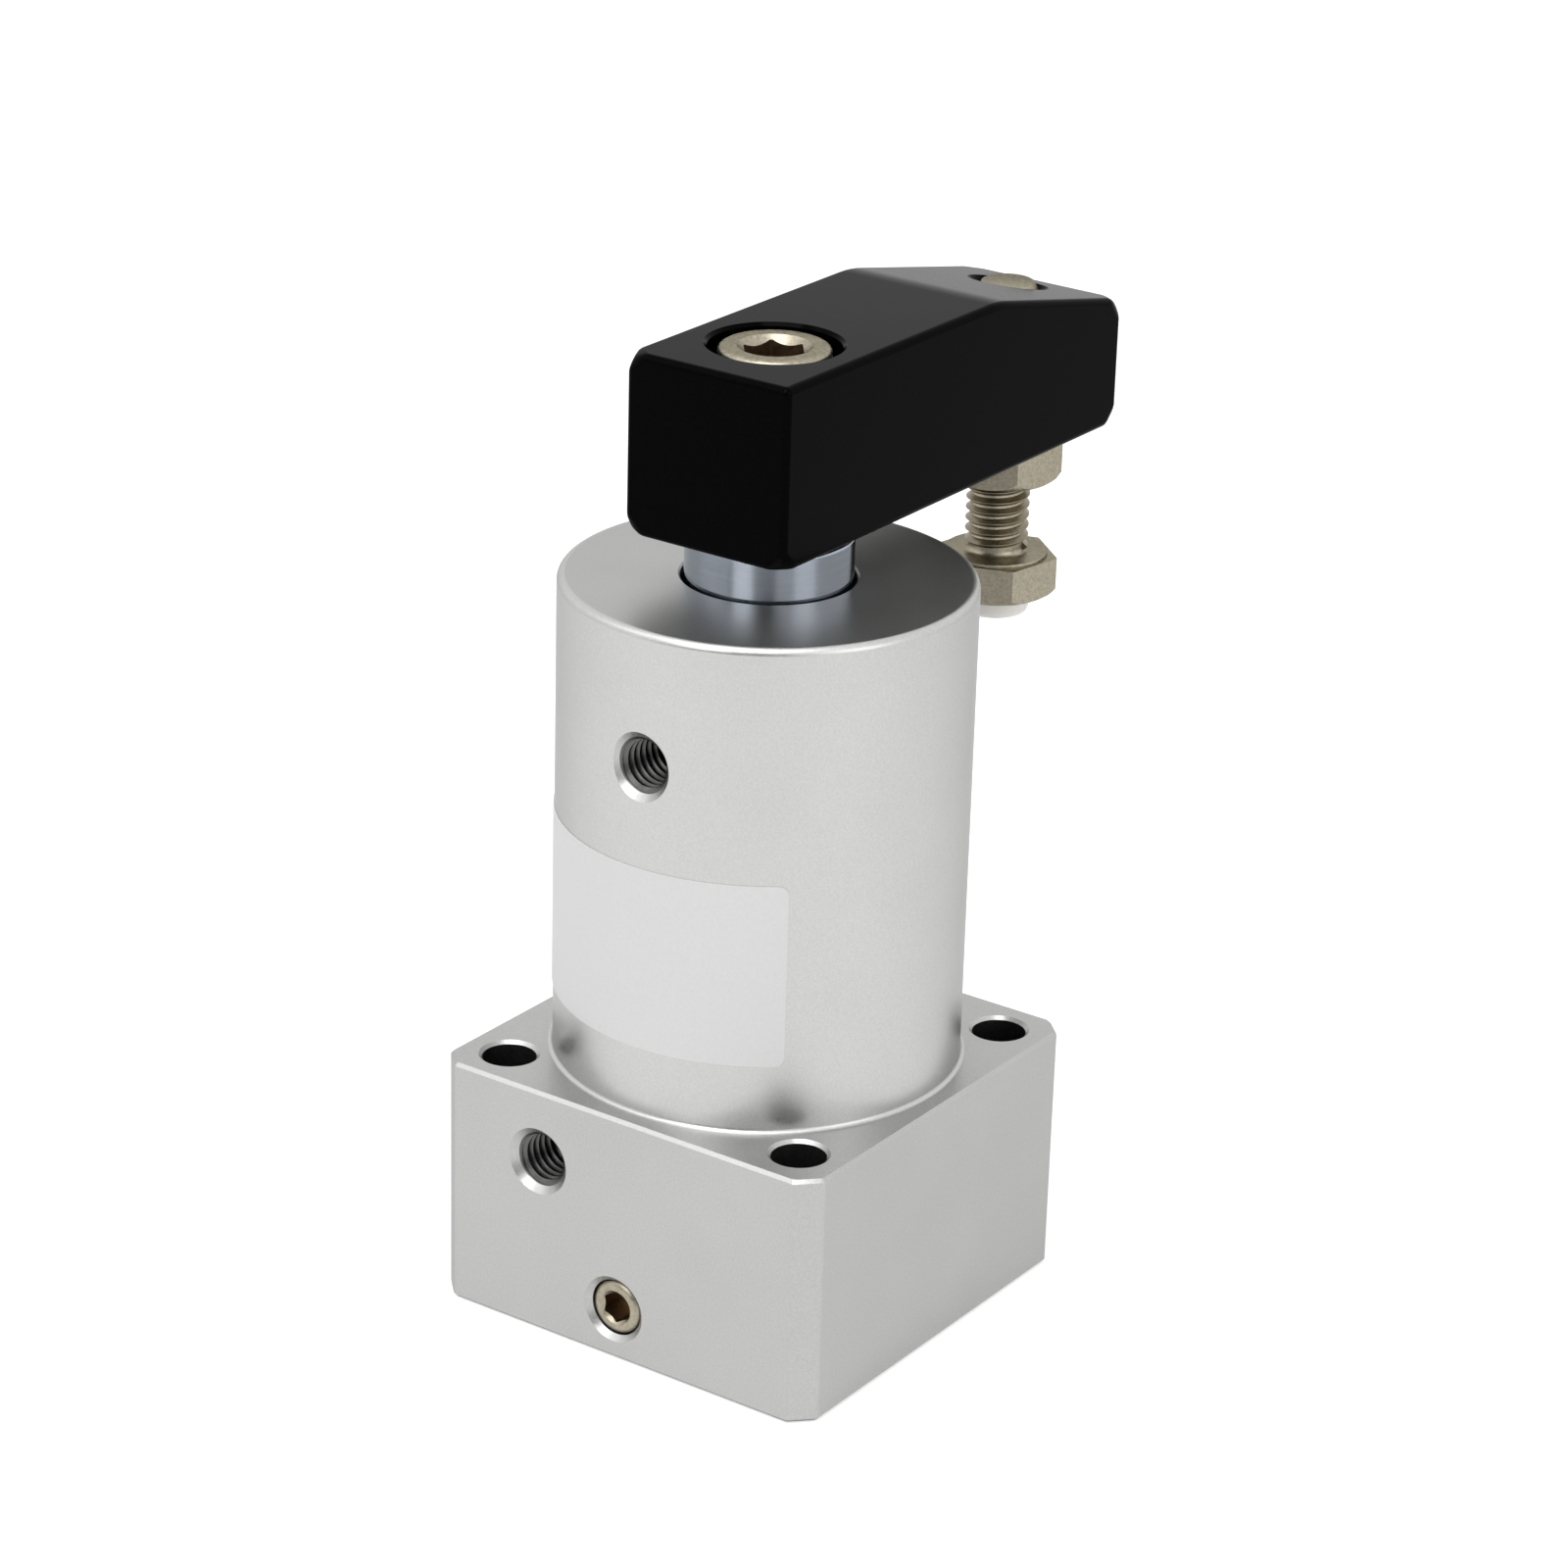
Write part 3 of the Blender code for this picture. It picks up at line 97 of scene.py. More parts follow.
SET_SCREW_HOLE_MOUTH = 3.1
SET_SCREW_LENGTH = 5.0
SET_SCREW_SOCKET = 2.6
SET_SCREW_SOCKET_DEPTH = 2.2
SET_SCREW_SOCKET_ROUNDING = 0.08
SET_SCREW_FLARE = 1.6
SET_SCREW_END_CHAMFER = 0.4

# Name label
LABEL_FROM = math.radians(-62.0)
LABEL_TO = math.radians(42.5)
LABEL_BOTTOM = 29.36
LABEL_TOP = 45.92
LABEL_CORNER = 0.8
LABEL_INNER = 18.015
LABEL_OUTER = 18.11
LABEL_STEPS = 36

# Piston rod
ROD_RADIUS = 7.25
ROD_NECK = 6.25
ROD_BOTTOM = 13.7
ROD_SHOULDER = 27.4
ROD_TOP = 71.1
ROD_BORE = (4.35, 51.0)
RING_GROOVE = (5.6, 14.1, 15.4)
SPIGOT_RADIUS = 5.0
SPIGOT_TOP = 78.4
SPIGOT_HALF_WIDTH = 3.9
TAPPED_HOLE = (3.3, 62.2)
ROD_END = (0.45, 0.36, 0.03)      # the round end edge of the shaft: its reach and its facet
PIN_HOLE = (1.8, 8.0)             # radius and depth
PIN_HOLE_START = (0.0, -2.0, 19.5)

# Clamp arm
ARM_BOTTOM = 71.4
ARM_TOP = 87.4
ARM_WIDTH = 16.4
ARM_BACK = -9.7
ARM_FRONT = 42.3
ARM_RIDGE = 22.3
NOSE_TOP = 83.1
ARM_ROUNDING = 0.65
ARM_CORNER_CUT = 1.6
RIDGE_RADIUS = 14.0
COUNTERBORE_RADIUS = 5.7
COUNTERBORE_FLOOR = 80.9
BOLT_AXIS = 36.0
SPIGOT_HOLE_RADIUS = 5.3
SPIGOT_HOLE_HALF_WIDTH = 4.2
SPIGOT_HOLE_DEPTH = 7.3
ARM_SCREW_HOLE = 3.3
ARM_BOLT_HOLE = 3.2
ARM_BOLT_FLARE = 3.7

# Cap screw
CAP_HEAD_RADIUS = 4.8
CAP_HEAD_BOTTOM = 81.2
CAP_HEAD_TOP = 87.2
CAP_SHANK_RADIUS = 3.0
CAP_END = 63.2
CAP_SOCKET = 5.0
CAP_SOCKET_DEPTH = 3.0
CAP_SOCKET_ROUNDING = 0.12
CAP_SOCKET_FLARE = 3.2
CAP_SOCKET_TURN = math.radians(12.0)
CAP_HEAD_ROUNDING = 0.5

# Clamp bolt, lock nut and pad
HEX_WIDTH = 10.0
HEX_TURN = math.radians(19.5)
HEX_CORNER_ROUNDING = 0.1
HEX_FACE_INSET = 0.1
HEX_SHOULDER = (0.55, 0.35)       # a point on the round chamfer: share of its width and height
HEX_CHAMFER = 0.6
NUT_CHAMFER = 1.0
BOLT_CREST = 2.9
BOLT_CORE = 2.45
BOLT_PITCH = 1.0
BOLT_HEAD = (55.5, 59.0)
BOLT_END = 84.6
BOLT_END_CHAMFER = (0.5, 1.3)
BOLT_THREAD_TURNS = 9
BOLT_PLAIN_END = 1.6              # how far the plain end reaches above the nut's bottom
PAD_HOLE = (2.1, 55.0, 58.9)      # in the bolt's head: radius, bottom and top
WASHER_FACE = (4.7, 59.3)
NUT = (66.4, 71.4)
NUT_THREAD_GAP = 0.08
NUT_COUNTERSINK = 0.45
PAD_RADIUS = 3.2
PAD = (53.5, 55.5)
PAD_ROUNDING = 0.5
PAD_STEM = (1.8, 58.3)

# Rear cover: its holes by radius and depth
SPANNER_HOLE = (1.5, 3.5)
SPANNER_HOLE_REACH = 9.0
CROSS_HOLE = (1.55, 23.6)
CROSS_HOLE_START = (0.0, 15.0, 5.8)

# Smoothness
BARREL_STEPS = 256
ROUND_STEPS = 128
SMALL_STEPS = 72
THREAD_STEPS = 48
TAP_TURN = math.radians(20.0)
EDGE_STEPS = 3
SMOOTH_ANGLE = math.radians(32.0)
MERGE = 0.0005
PAST = 1.0
FORWARD = (0.0, -1.0, 0.0)
BROAD_MOTTLE = 9.0

# Stage and light, in metres
LAMP_TARGET = (0.0, 0.008, 0.045)
WORLD_FILL = 0.66
FLOOR_REACH = 3.0
FLOOR_GAP = 0.0001
FLOOR_GLOW_SEEN = 0.5
FLOOR_GLOW_MIRRORED = 0.21
CARD_RADIUS = 0.95
CARD_BOTTOM = 0.02
CARD_TOP = 0.7
CARD_FROM = math.radians(-20.0)
CARD_TO = math.radians(44.0)

# Camera, with its distances in millimetres
CAMERA_AZIMUTH = math.radians(34.651)
CAMERA_ELEVATION = math.radians(22.613)
CAMERA_ROLL = math.radians(1.657)
CAMERA_DISTANCE = 406.84
CAMERA_AIM_RIGHT = 1.7936
CAMERA_AIM_HEIGHT = 47.724
FOCAL_PIXELS = 4808.0
PHOTO_PIXELS = 1600.0
SENSOR_WIDTH = 36.0


def arc(centre, radius, start, end, steps):
    """Points of an arc between two angles in degrees, ends included."""
    turns = [math.radians(start + (end - start) * step / steps) for step in range(steps + 1)]
    return [(centre[0] + radius * math.cos(turn), centre[1] + radius * math.sin(turn)) for turn in turns]


def turned(profile, steps=ROUND_STEPS):
    """A turned shape: the (radius, height) profile spun round Z."""
    shape = bmesh.new()
    points = [shape.verts.new((radius, 0.0, height)) for radius, height in profile]
    on_axis = profile[0][0] == 0.0 and profile[-1][0] == 0.0
    followers = points[1:] if on_axis else points[1:] + points[:1]
    edges = [shape.edges.new(pair) for pair in zip(points, followers)]
    bmesh.ops.spin(
        shape,
        geom=points + edges,
        cent=(0.0, 0.0, 0.0),
        axis=(0.0, 0.0, 1.0),
        angle=math.tau,
        steps=steps,
        use_merge=True,
        use_duplicate=False,
    )
    bmesh.ops.remove_doubles(shape, verts=shape.verts, dist=MERGE)
    bmesh.ops.recalc_face_normals(shape, faces=shape.faces)
    return shape


def pushed_up(outline, bottom, top):
    """A straight shape: the (x, y) outline extruded from one height to another."""
    shape = bmesh.new()
    face = shape.faces.new([shape.verts.new((x, y, bottom)) for x, y in outline])
    grown = bmesh.ops.extrude_face_region(shape, geom=[face])
    risen = [item for item in grown["geom"] if isinstance(item, bmesh.types.BMVert)]
    bmesh.ops.translate(shape, verts=risen, vec=(0.0, 0.0, top - bottom))
    bmesh.ops.recalc_face_normals(shape, faces=shape.faces)
    return shape


def thread_ridge(section, pitch, bottom, turns):
    """A screw thread: a closed (radius, height) section that climbs one pitch a turn."""
    shape = bmesh.new()
    points = [shape.verts.new((radius, 0.0, bottom + height)) for radius, height in section]
    edges = [shape.edges.new(pair) for pair in zip(points, points[1:] + points[:1])]
    bmesh.ops.spin(
        shape,
        geom=points + edges,
        cent=(0.0, 0.0, 0.0),
        axis=(0.0, 0.0, 1.0),
        dvec=(0.0, 0.0, pitch / THREAD_STEPS),
        angle=math.tau * turns,
        steps=THREAD_STEPS * turns,
        use_merge=False,
        use_duplicate=False,
    )
    open_edges = [edge for edge in shape.edges if edge.is_boundary]
    bmesh.ops.holes_fill(shape, edges=open_edges)
    bmesh.ops.recalc_face_normals(shape, faces=shape.faces)
    return shape


def hexagon(width, corner_rounding):
    """The outline of a hexagon of this width across flats, with each corner cut a little."""
    reach = width / math.sqrt(3.0)
    outline = []
    for side in range(6):
        turn = math.radians(60.0 * side)
        corner = Vector((reach * math.cos(turn), reach * math.sin(turn)))
        along = Vector((-math.sin(turn), math.cos(turn))) * corner_rounding
        back = corner.normalized() * corner_rounding * math.tan(math.radians(30.0))
        outline += [tuple(corner - back - along), tuple(corner - back + along)]
    return outline


def bevelled(shape, parts, width, steps, affect="EDGES"):
    """Rounds or chamfers these edges of a shape, or cuts off these corners."""
    bmesh.ops.bevel(
        shape,
        geom=parts,
        offset=width,
        offset_type="OFFSET",
        segments=steps,
        profile=0.5,
        affect=affect,
        clamp_overlap=True,
        material=-1,
    )


def moved(shape, to=(0.0, 0.0, 0.0), facing=None, turn=0.0):
    """Turns a shape about Z, points its +Z in a direction and moves it."""
    aim = Vector(facing).to_track_quat("Z", "Y").to_matrix().to_4x4() if facing else Matrix.Identity(4)
    matrix = Matrix.Translation(to) @ aim @ Matrix.Rotation(turn, 4, "Z")
    bmesh.ops.transform(shape, matrix=matrix, verts=shape.verts)
    return shape


def stock(name, shape, finishes=()):
    """An object of a shape, still in millimetres."""
    mesh = bpy.data.meshes.new(name)
    shape.to_mesh(mesh)
    shape.free()
    for finish in finishes:
        mesh.materials.append(finish)
    piece = bpy.data.objects.new(name, mesh)
    bpy.context.scene.collection.objects.link(piece)
    return piece


def machined(piece, operation, shapes):
    """Cuts shapes out of a piece, joins them to it or crops it with them, and keeps the result."""
    for shape in shapes:
        tool = stock("tool", shape, piece.data.materials)
        step = piece.modifiers.new("step", "BOOLEAN")
        step.operation = operation
        step.solver = "EXACT"
        step.object = tool
        bpy.context.view_layer.update()
        result = piece.evaluated_get(bpy.context.evaluated_depsgraph_get())
        worked = bpy.data.meshes.new_from_object(result)
        piece.modifiers.clear()
        piece.data = worked
        bpy.data.objects.remove(tool, do_unlink=True)
    return piece


def finished(piece, body, record_slot, *nodes):
    """Brings a piece to metres, smooths it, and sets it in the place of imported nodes."""
    shape = bmesh.new()
    shape.from_mesh(piece.data)
    bmesh.ops.remove_doubles(shape, verts=shape.verts, dist=MERGE)
    bmesh.ops.dissolve_degenerate(shape, edges=shape.edges, dist=MERGE)
    bmesh.ops.scale(shape, vec=(MM, MM, MM), verts=shape.verts)
    mesh = bpy.data.meshes.new(piece.name)
    shape.to_mesh(mesh)
    shape.free()
    mesh.shade_smooth()
    mesh.set_sharp_from_angle(angle=SMOOTH_ANGLE)
    for finish in piece.data.materials:
        mesh.materials.append(finish)
    piece.data = mesh
    even = piece.modifiers.new("even shading", "WEIGHTED_NORMAL")
    even.keep_sharp = True
    even.weight = 100
    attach(piece, body)
    if nodes:
        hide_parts(*nodes)
    return piece


def inner(shape, below, finish=1):
    """Gives another of the piece's finishes to the faces of a cutter that lie below a height."""
    for face in shape.faces:
        if face.calc_center_median().z < below:
            face.material_index = finish
    return shape


def drill(radius, mouth, depth, steps=SMALL_STEPS):
    """A drill that points down from z = 0, with a 45 degree countersink at its mouth."""
    profile = [
        (0.0, -depth),
        (radius, -depth),
        (radius, radius - mouth),
        (mouth + PAST, PAST),
        (0.0, PAST),
    ]
    return turned(profile, steps)


def port_cutters(place, depth):
    """Drill and tap of a port: 45 degree countersink, then the M5 thread that starts in it."""
    core = turned(
        [
            (0.0, -depth),
            (PORT_CREST, -depth),
            (PORT_CREST, PORT_CREST - PORT_MOUTH),
            (PORT_ROOT, PORT_ROOT - PORT_MOUTH),
            (PORT_MOUTH, 0.0),
            (PORT_MOUTH + PAST, PAST),
            (0.0, PAST),
        ],
        SMALL_STEPS,
    )
    groove = [
        *((PORT_CREST + inward, height) for inward, height in PORT_GROOVE),
        *((PORT_ROOT, height) for height in PORT_GROOVE_FLOOR),
    ]
    turns = math.ceil(depth / PORT_PITCH)
    tap = thread_ridge(groove, PORT_PITCH, -THREAD_START - PORT_PITCH * (turns + 0.5), turns)
    bmesh.ops.rotate(tap, cent=(0.0, 0.0, 0.0), matrix=Matrix.Rotation(TAP_TURN, 3, "Z"), verts=tap.verts)
    # Below the countersink the walls and thread take finish 2, a dark grey of painted shade.
    return [
        moved(inner(core, PORT_ROOT - PORT_MOUTH, 2), place, FORWARD),
        moved(inner(tap, 0.0, 2), place, FORWARD),
    ]


def make_body(finish, hole_shade_finish, thread_shade_finish, barrel_light_finish):
    """One machined piece: square base with cut corners, round barrel, ports and holes."""
    base = bmesh.new()
    bmesh.ops.create_cube(base, size=1.0)
    bmesh.ops.scale(base, vec=(BASE_WIDTH, BASE_WIDTH, BASE_TOP), verts=base.verts)
    bmesh.ops.translate(base, vec=(0.0, 0.0, BASE_TOP / 2), verts=base.verts)
    upright = [edge for edge in base.edges if abs(edge.verts[0].co.z - edge.verts[1].co.z) > 1.0]
    bevelled(base, upright, CORNER_CHAMFER, 1)
    upright = [edge for edge in base.edges if abs(edge.verts[0].co.z - edge.verts[1].co.z) > 1.0]
    bevelled(base, upright, CORNER_ROUNDING, EDGE_STEPS)
    rims = [edge for edge in base.edges if abs(edge.verts[0].co.z - edge.verts[1].co.z) < 0.1]
    bevelled(base, rims, RIM_CHAMFER, 1)
    body = stock("cylinder_body_machined", base, (finish, hole_shade_finish, thread_shade_finish, barrel_light_finish))

    foot = arc((BARREL_RADIUS + FOOT_FILLET, BASE_TOP + FOOT_FILLET), FOOT_FILLET, -90.0, -180.0, 6)
    barrel = [(0.0, BASE_TOP / 2), (BARREL_RADIUS + FOOT_FILLET, BASE_TOP / 2)]
    barrel += foot
    barrel += arc((BARREL_RADIUS - BARREL_EDGE, BARREL_TOP - BARREL_EDGE), BARREL_EDGE, 0.0, 90.0, 6)
    barrel += [(0.0, BARREL_TOP)]
    # The barrel's side and round top edge get finish 3, the base's anodising drawn paler as painted light;
    # the top face keeps the base's finish.
    machined(body, "UNION", [inner(turned(barrel, BARREL_STEPS), BARREL_TOP - MERGE, 3)])

    bore = [
        (0.0, -PAST),
        (COVER_SEAT[0], -PAST),
        COVER_SEAT,
        (BORE_RADIUS, COVER_SEAT[1]),
        (BORE_RADIUS, CHAMBER_TOP),
        (BUSH_SEAT[0], CHAMBER_TOP),
        BUSH_SEAT,
        (ROD_HOLE_RADIUS, BUSH_SEAT[1]),
        (ROD_HOLE_RADIUS, SEAL_GROOVE[1]),
        SEAL_GROOVE[:2],
        (SEAL_GROOVE[0], SEAL_GROOVE[2]),
        (ROD_HOLE_RADIUS, SEAL_GROOVE[2]),
        (ROD_HOLE_RADIUS, BARREL_TOP - ROD_HOLE_LIP),
        (ROD_HOLE_RADIUS + ROD_HOLE_LIP + PAST, BARREL_TOP + PAST),
        (0.0, BARREL_TOP + PAST),
    ]
    cuts = [turned(bore)]
    cuts += port_cutters(UPPER_PORT, UPPER_PORT_DEPTH)
    cuts += port_cutters(LOWER_PORT, LOWER_PORT_DEPTH)
    screw_hole = drill(SET_SCREW_HOLE_RADIUS, SET_SCREW_HOLE_MOUTH, SET_SCREW_LENGTH + PAST)
    screw_place = (SET_SCREW_CENTRE[0], -BASE_WIDTH / 2, SET_SCREW_CENTRE[2])
    cuts.append(moved(screw_hole, screw_place, FORWARD))
    for side_x, side_y in ((-1, -1), (1, -1), (1, 1), (-1, 1)):
        place = (side_x * MOUNTING_HOLE_REACH, side_y * MOUNTING_HOLE_REACH, BASE_TOP)
        mounting = drill(MOUNTING_HOLE_RADIUS, MOUNTING_HOLE_RADIUS + HOLE_LIP, BASE_TOP + PAST)
        # The walls below each hole's lip get finish 1, a dark grey of painted shade.
        cuts.append(moved(inner(mounting, -HOLE_LIP), place))
    machined(body, "DIFFERENCE", cuts)
    return finished(body, "housing", "anodised", "cylinder_body")


def make_label(finish):
    """Bare name label: a thin film on the barrel with round corners."""
    film = bmesh.new()
    section = [
        (LABEL_INNER, LABEL_BOTTOM),
        (LABEL_OUTER, LABEL_BOTTOM),
        (LABEL_OUTER, LABEL_TOP),
        (LABEL_INNER, LABEL_TOP),
    ]
    points = [film.verts.new((radius, 0.0, height)) for radius, height in section]
    edges = [film.edges.new(pair) for pair in zip(points, points[1:] + points[:1])]
    bmesh.ops.spin(
        film,
        geom=points + edges,
        cent=(0.0, 0.0, 0.0),
        axis=(0.0, 0.0, 1.0),
        angle=LABEL_TO - LABEL_FROM,
        steps=LABEL_STEPS,
        use_merge=False,
        use_duplicate=False,
    )
    ends = bmesh.ops.holes_fill(film, edges=[edge for edge in film.edges if edge.is_boundary])["faces"]
    bmesh.ops.recalc_face_normals(film, faces=film.faces)
    corners = [
        edge for face in ends for edge in face.edges if abs(edge.verts[0].co.z - edge.verts[1].co.z) < 0.01
    ]
    bevelled(film, corners, LABEL_CORNER, 6)
    bmesh.ops.rotate(
        film,
        cent=(0.0, 0.0, 0.0),
        matrix=Matrix.Rotation(LABEL_FROM - math.radians(90.0), 3, "Z"),
        verts=film.verts,
    )
    return finished(stock("name_label", film, (finish,)), "housing", "white_plastic")


def make_set_screw(finish, socket_shade_finish):
    """Headless screw with a hexagon socket."""
    radius = SET_SCREW_RADIUS
    screw = stock(
        "cover_set_screw_socketed",
        moved(
            turned(
                [
                    (0.0, -SET_SCREW_LENGTH),
                    (radius - SET_SCREW_END_CHAMFER, -SET_SCREW_LENGTH),
                    (radius, -SET_SCREW_LENGTH + SET_SCREW_END_CHAMFER),
                    (radius, -0.4),
                    (radius - 0.08, -0.22),
                    (radius - 0.35, -0.03),
                    (radius - 0.5, 0.0),
                    (0.0, 0.0),
                ],
                SMALL_STEPS,
            ),
            SET_SCREW_CENTRE,
            FORWARD,
        ),
        (finish, socket_shade_finish),
    )
    socket = pushed_up(hexagon(SET_SCREW_SOCKET, SET_SCREW_SOCKET_ROUNDING), -SET_SCREW_SOCKET_DEPTH, PAST)
    flare = turned(
        [(0.0, -SET_SCREW_FLARE), (SET_SCREW_FLARE + PAST, PAST), (0.0, PAST)], SMALL_STEPS
    )
    # The socket's walls get finish 1, brown partly for oil and partly as painted shade.
    cutters = [
        moved(cutter, SET_SCREW_CENTRE, FORWARD, math.radians(30.0))
        for cutter in (inner(socket, PAST), flare)
    ]
    machined(screw, "DIFFERENCE", cutters)
    return finished(screw, "housing", "nickel_steel", "cover_set_screw")


def make_rod(finish):
    """Hollow piston rod with its polished shaft and the spigot for the arm."""
    profile = [
        (0.0, ROD_BORE[1]),
        ROD_BORE,
        (ROD_BORE[0], ROD_BOTTOM),
        (ROD_NECK, ROD_BOTTOM),
        (ROD_NECK, RING_GROOVE[1]),
        RING_GROOVE[:2],
        (RING_GROOVE[0], RING_GROOVE[2]),
        (ROD_NECK, RING_GROOVE[2]),
        (ROD_NECK, ROD_SHOULDER),
        (ROD_RADIUS, ROD_SHOULDER),
        (ROD_RADIUS, ROD_TOP - ROD_END[0]),
        (ROD_RADIUS - ROD_END[2], ROD_TOP - ROD_END[1]),
        (ROD_RADIUS - ROD_END[1], ROD_TOP - ROD_END[2]),
        (ROD_RADIUS - ROD_END[0], ROD_TOP),
        (SPIGOT_RADIUS, ROD_TOP),
        (SPIGOT_RADIUS, SPIGOT_TOP),
        (TAPPED_HOLE[0], SPIGOT_TOP),
        TAPPED_HOLE,
        (0.0, TAPPED_HOLE[1]),
    ]
    rod = stock("piston_rod_polished", turned(profile), (finish,))
    far = SPIGOT_RADIUS + PAST
    flats = []
    for near, reach in ((-far, -SPIGOT_HALF_WIDTH), (SPIGOT_HALF_WIDTH, far)):
        outline = [(near, -far), (reach, -far), (reach, far), (near, far)]
        flats.append(pushed_up(outline, ROD_TOP, SPIGOT_TOP + PAST))
    pin_hole = turned(
        [(0.0, 0.0), (PIN_HOLE[0], 0.0), PIN_HOLE, (0.0, PIN_HOLE[1])], SMALL_STEPS
    )
    flats.append(moved(pin_hole, PIN_HOLE_START, FORWARD))
    machined(rod, "DIFFERENCE", flats)
    return finished(rod, "rod_and_arm", "hard_chrome", "piston_rod")


def make_arm(finish):
    """Bar with a sloped nose and rounded edges, counterbored for its screw."""
    side = [
        (ARM_BACK, ARM_BOTTOM),
        (ARM_FRONT, ARM_BOTTOM),
        (ARM_FRONT, NOSE_TOP),
    ]
    slope = math.atan2(ARM_TOP - NOSE_TOP, ARM_FRONT - ARM_RIDGE)
    ridge = (ARM_RIDGE - RIDGE_RADIUS * math.tan(slope / 2), ARM_TOP - RIDGE_RADIUS)
    side += arc(ridge, RIDGE_RADIUS, 90.0 - math.degrees(slope), 90.0, 4)
    side += [(ARM_BACK, ARM_TOP)]
    bar = pushed_up(side, -ARM_WIDTH / 2, ARM_WIDTH / 2)
    upright = Matrix(((0.0, 0.0, 1.0), (1.0, 0.0, 0.0), (0.0, 1.0, 0.0)))
    bmesh.ops.transform(bar, matrix=upright.to_4x4(), verts=bar.verts)
    corners = [
        corner for corner in bar.verts
        if min(corner.co.y - ARM_BACK, ARM_FRONT - corner.co.y) < MERGE
    ]
    # One corner at the top of the back end is crisp in the photograph, the others are rounder.
    corners = [
        corner for corner in corners
        if not (corner.co.x > 0.0 > corner.co.y and corner.co.z > NOSE_TOP)
    ]
    bevelled(bar, corners, ARM_CORNER_CUT, 1, "VERTICES")
    sharp = [edge for edge in bar.edges if edge.calc_face_angle() > math.radians(30.0)]
    bevelled(bar, sharp, ARM_ROUNDING, 8)
    arm = stock("clamp_arm_rounded", bar, (finish,))

    flat_from = math.acos(SPIGOT_HOLE_HALF_WIDTH / SPIGOT_HOLE_RADIUS)
    turns = [flat_from + (math.pi - 2 * flat_from) * step / 20 for step in range(21)]
    half = [(SPIGOT_HOLE_RADIUS * math.cos(turn), SPIGOT_HOLE_RADIUS * math.sin(turn)) for turn in turns]
    spigot_hole = pushed_up(
        half + [(-x, -y) for x, y in half], ARM_BOTTOM - PAST, ARM_BOTTOM + SPIGOT_HOLE_DEPTH
    )
    screw_hole = turned(
        [(0.0, ARM_BOTTOM), (ARM_SCREW_HOLE, ARM_BOTTOM), (ARM_SCREW_HOLE, ARM_TOP), (0.0, ARM_TOP)],
        SMALL_STEPS,
    )
    counterbore = moved(
        drill(COUNTERBORE_RADIUS, COUNTERBORE_RADIUS + HOLE_LIP, ARM_TOP - COUNTERBORE_FLOOR, ROUND_STEPS),
        (0.0, 0.0, ARM_TOP),
    )
    bolt_hole = turned(
        [
            (0.0, ARM_BOTTOM - PAST),
            (ARM_BOLT_HOLE, ARM_BOTTOM - PAST),
            (ARM_BOLT_HOLE, ARM_TOP),
            (0.0, ARM_TOP),
        ],
        SMALL_STEPS,
    )
    surface = ARM_TOP - (BOLT_AXIS - ARM_RIDGE) * math.tan(slope)
    flare = turned(
        [(0.0, -ARM_BOLT_FLARE), (ARM_BOLT_FLARE + PAST, PAST), (0.0, PAST)], SMALL_STEPS
    )
    uphill = (0.0, math.sin(slope), math.cos(slope))
    machined(
        arm,
        "DIFFERENCE",
        [
            spigot_hole,
            screw_hole,
            counterbore,
            moved(bolt_hole, (0.0, BOLT_AXIS, 0.0)),
            moved(flare, (0.0, BOLT_AXIS, surface), uphill),
        ],
    )
    return finished(arm, "rod_and_arm", "black_steel", "clamp_arm")


def make_cap_screw(finish, socket_shade_finish):
    """Socket head cap screw."""
    profile = [
        (0.0, CAP_END),
        (CAP_SHANK_RADIUS, CAP_END),
        (CAP_SHANK_RADIUS, CAP_HEAD_BOTTOM),
        (CAP_HEAD_RADIUS, CAP_HEAD_BOTTOM),
    ]
    profile += arc(
        (CAP_HEAD_RADIUS - CAP_HEAD_ROUNDING, CAP_HEAD_TOP - CAP_HEAD_ROUNDING),
        CAP_HEAD_ROUNDING,
        0.0,
        90.0,
        5,
    )
    profile += [(0.0, CAP_HEAD_TOP)]
    screw = stock("arm_cap_screw_socketed", turned(profile), (finish, socket_shade_finish))
    outline = hexagon(CAP_SOCKET, CAP_SOCKET_ROUNDING)
    socket = pushed_up(outline, CAP_HEAD_TOP - CAP_SOCKET_DEPTH, CAP_HEAD_TOP + PAST)
    # The socket's walls get finish 1, brown partly for oil and partly as painted shade.
    inner(socket, CAP_HEAD_TOP + PAST)
    flare = turned(
        [
            (0.0, CAP_HEAD_TOP - CAP_SOCKET_FLARE),
            (CAP_SOCKET_FLARE + PAST, CAP_HEAD_TOP + PAST),
            (0.0, CAP_HEAD_TOP + PAST),
        ],
        ROUND_STEPS,
    )
    moved(socket, turn=CAP_SOCKET_TURN)
    machined(screw, "DIFFERENCE", [socket, flare])
    return finished(screw, "rod_and_arm", "nickel_steel", "arm_cap_screw")


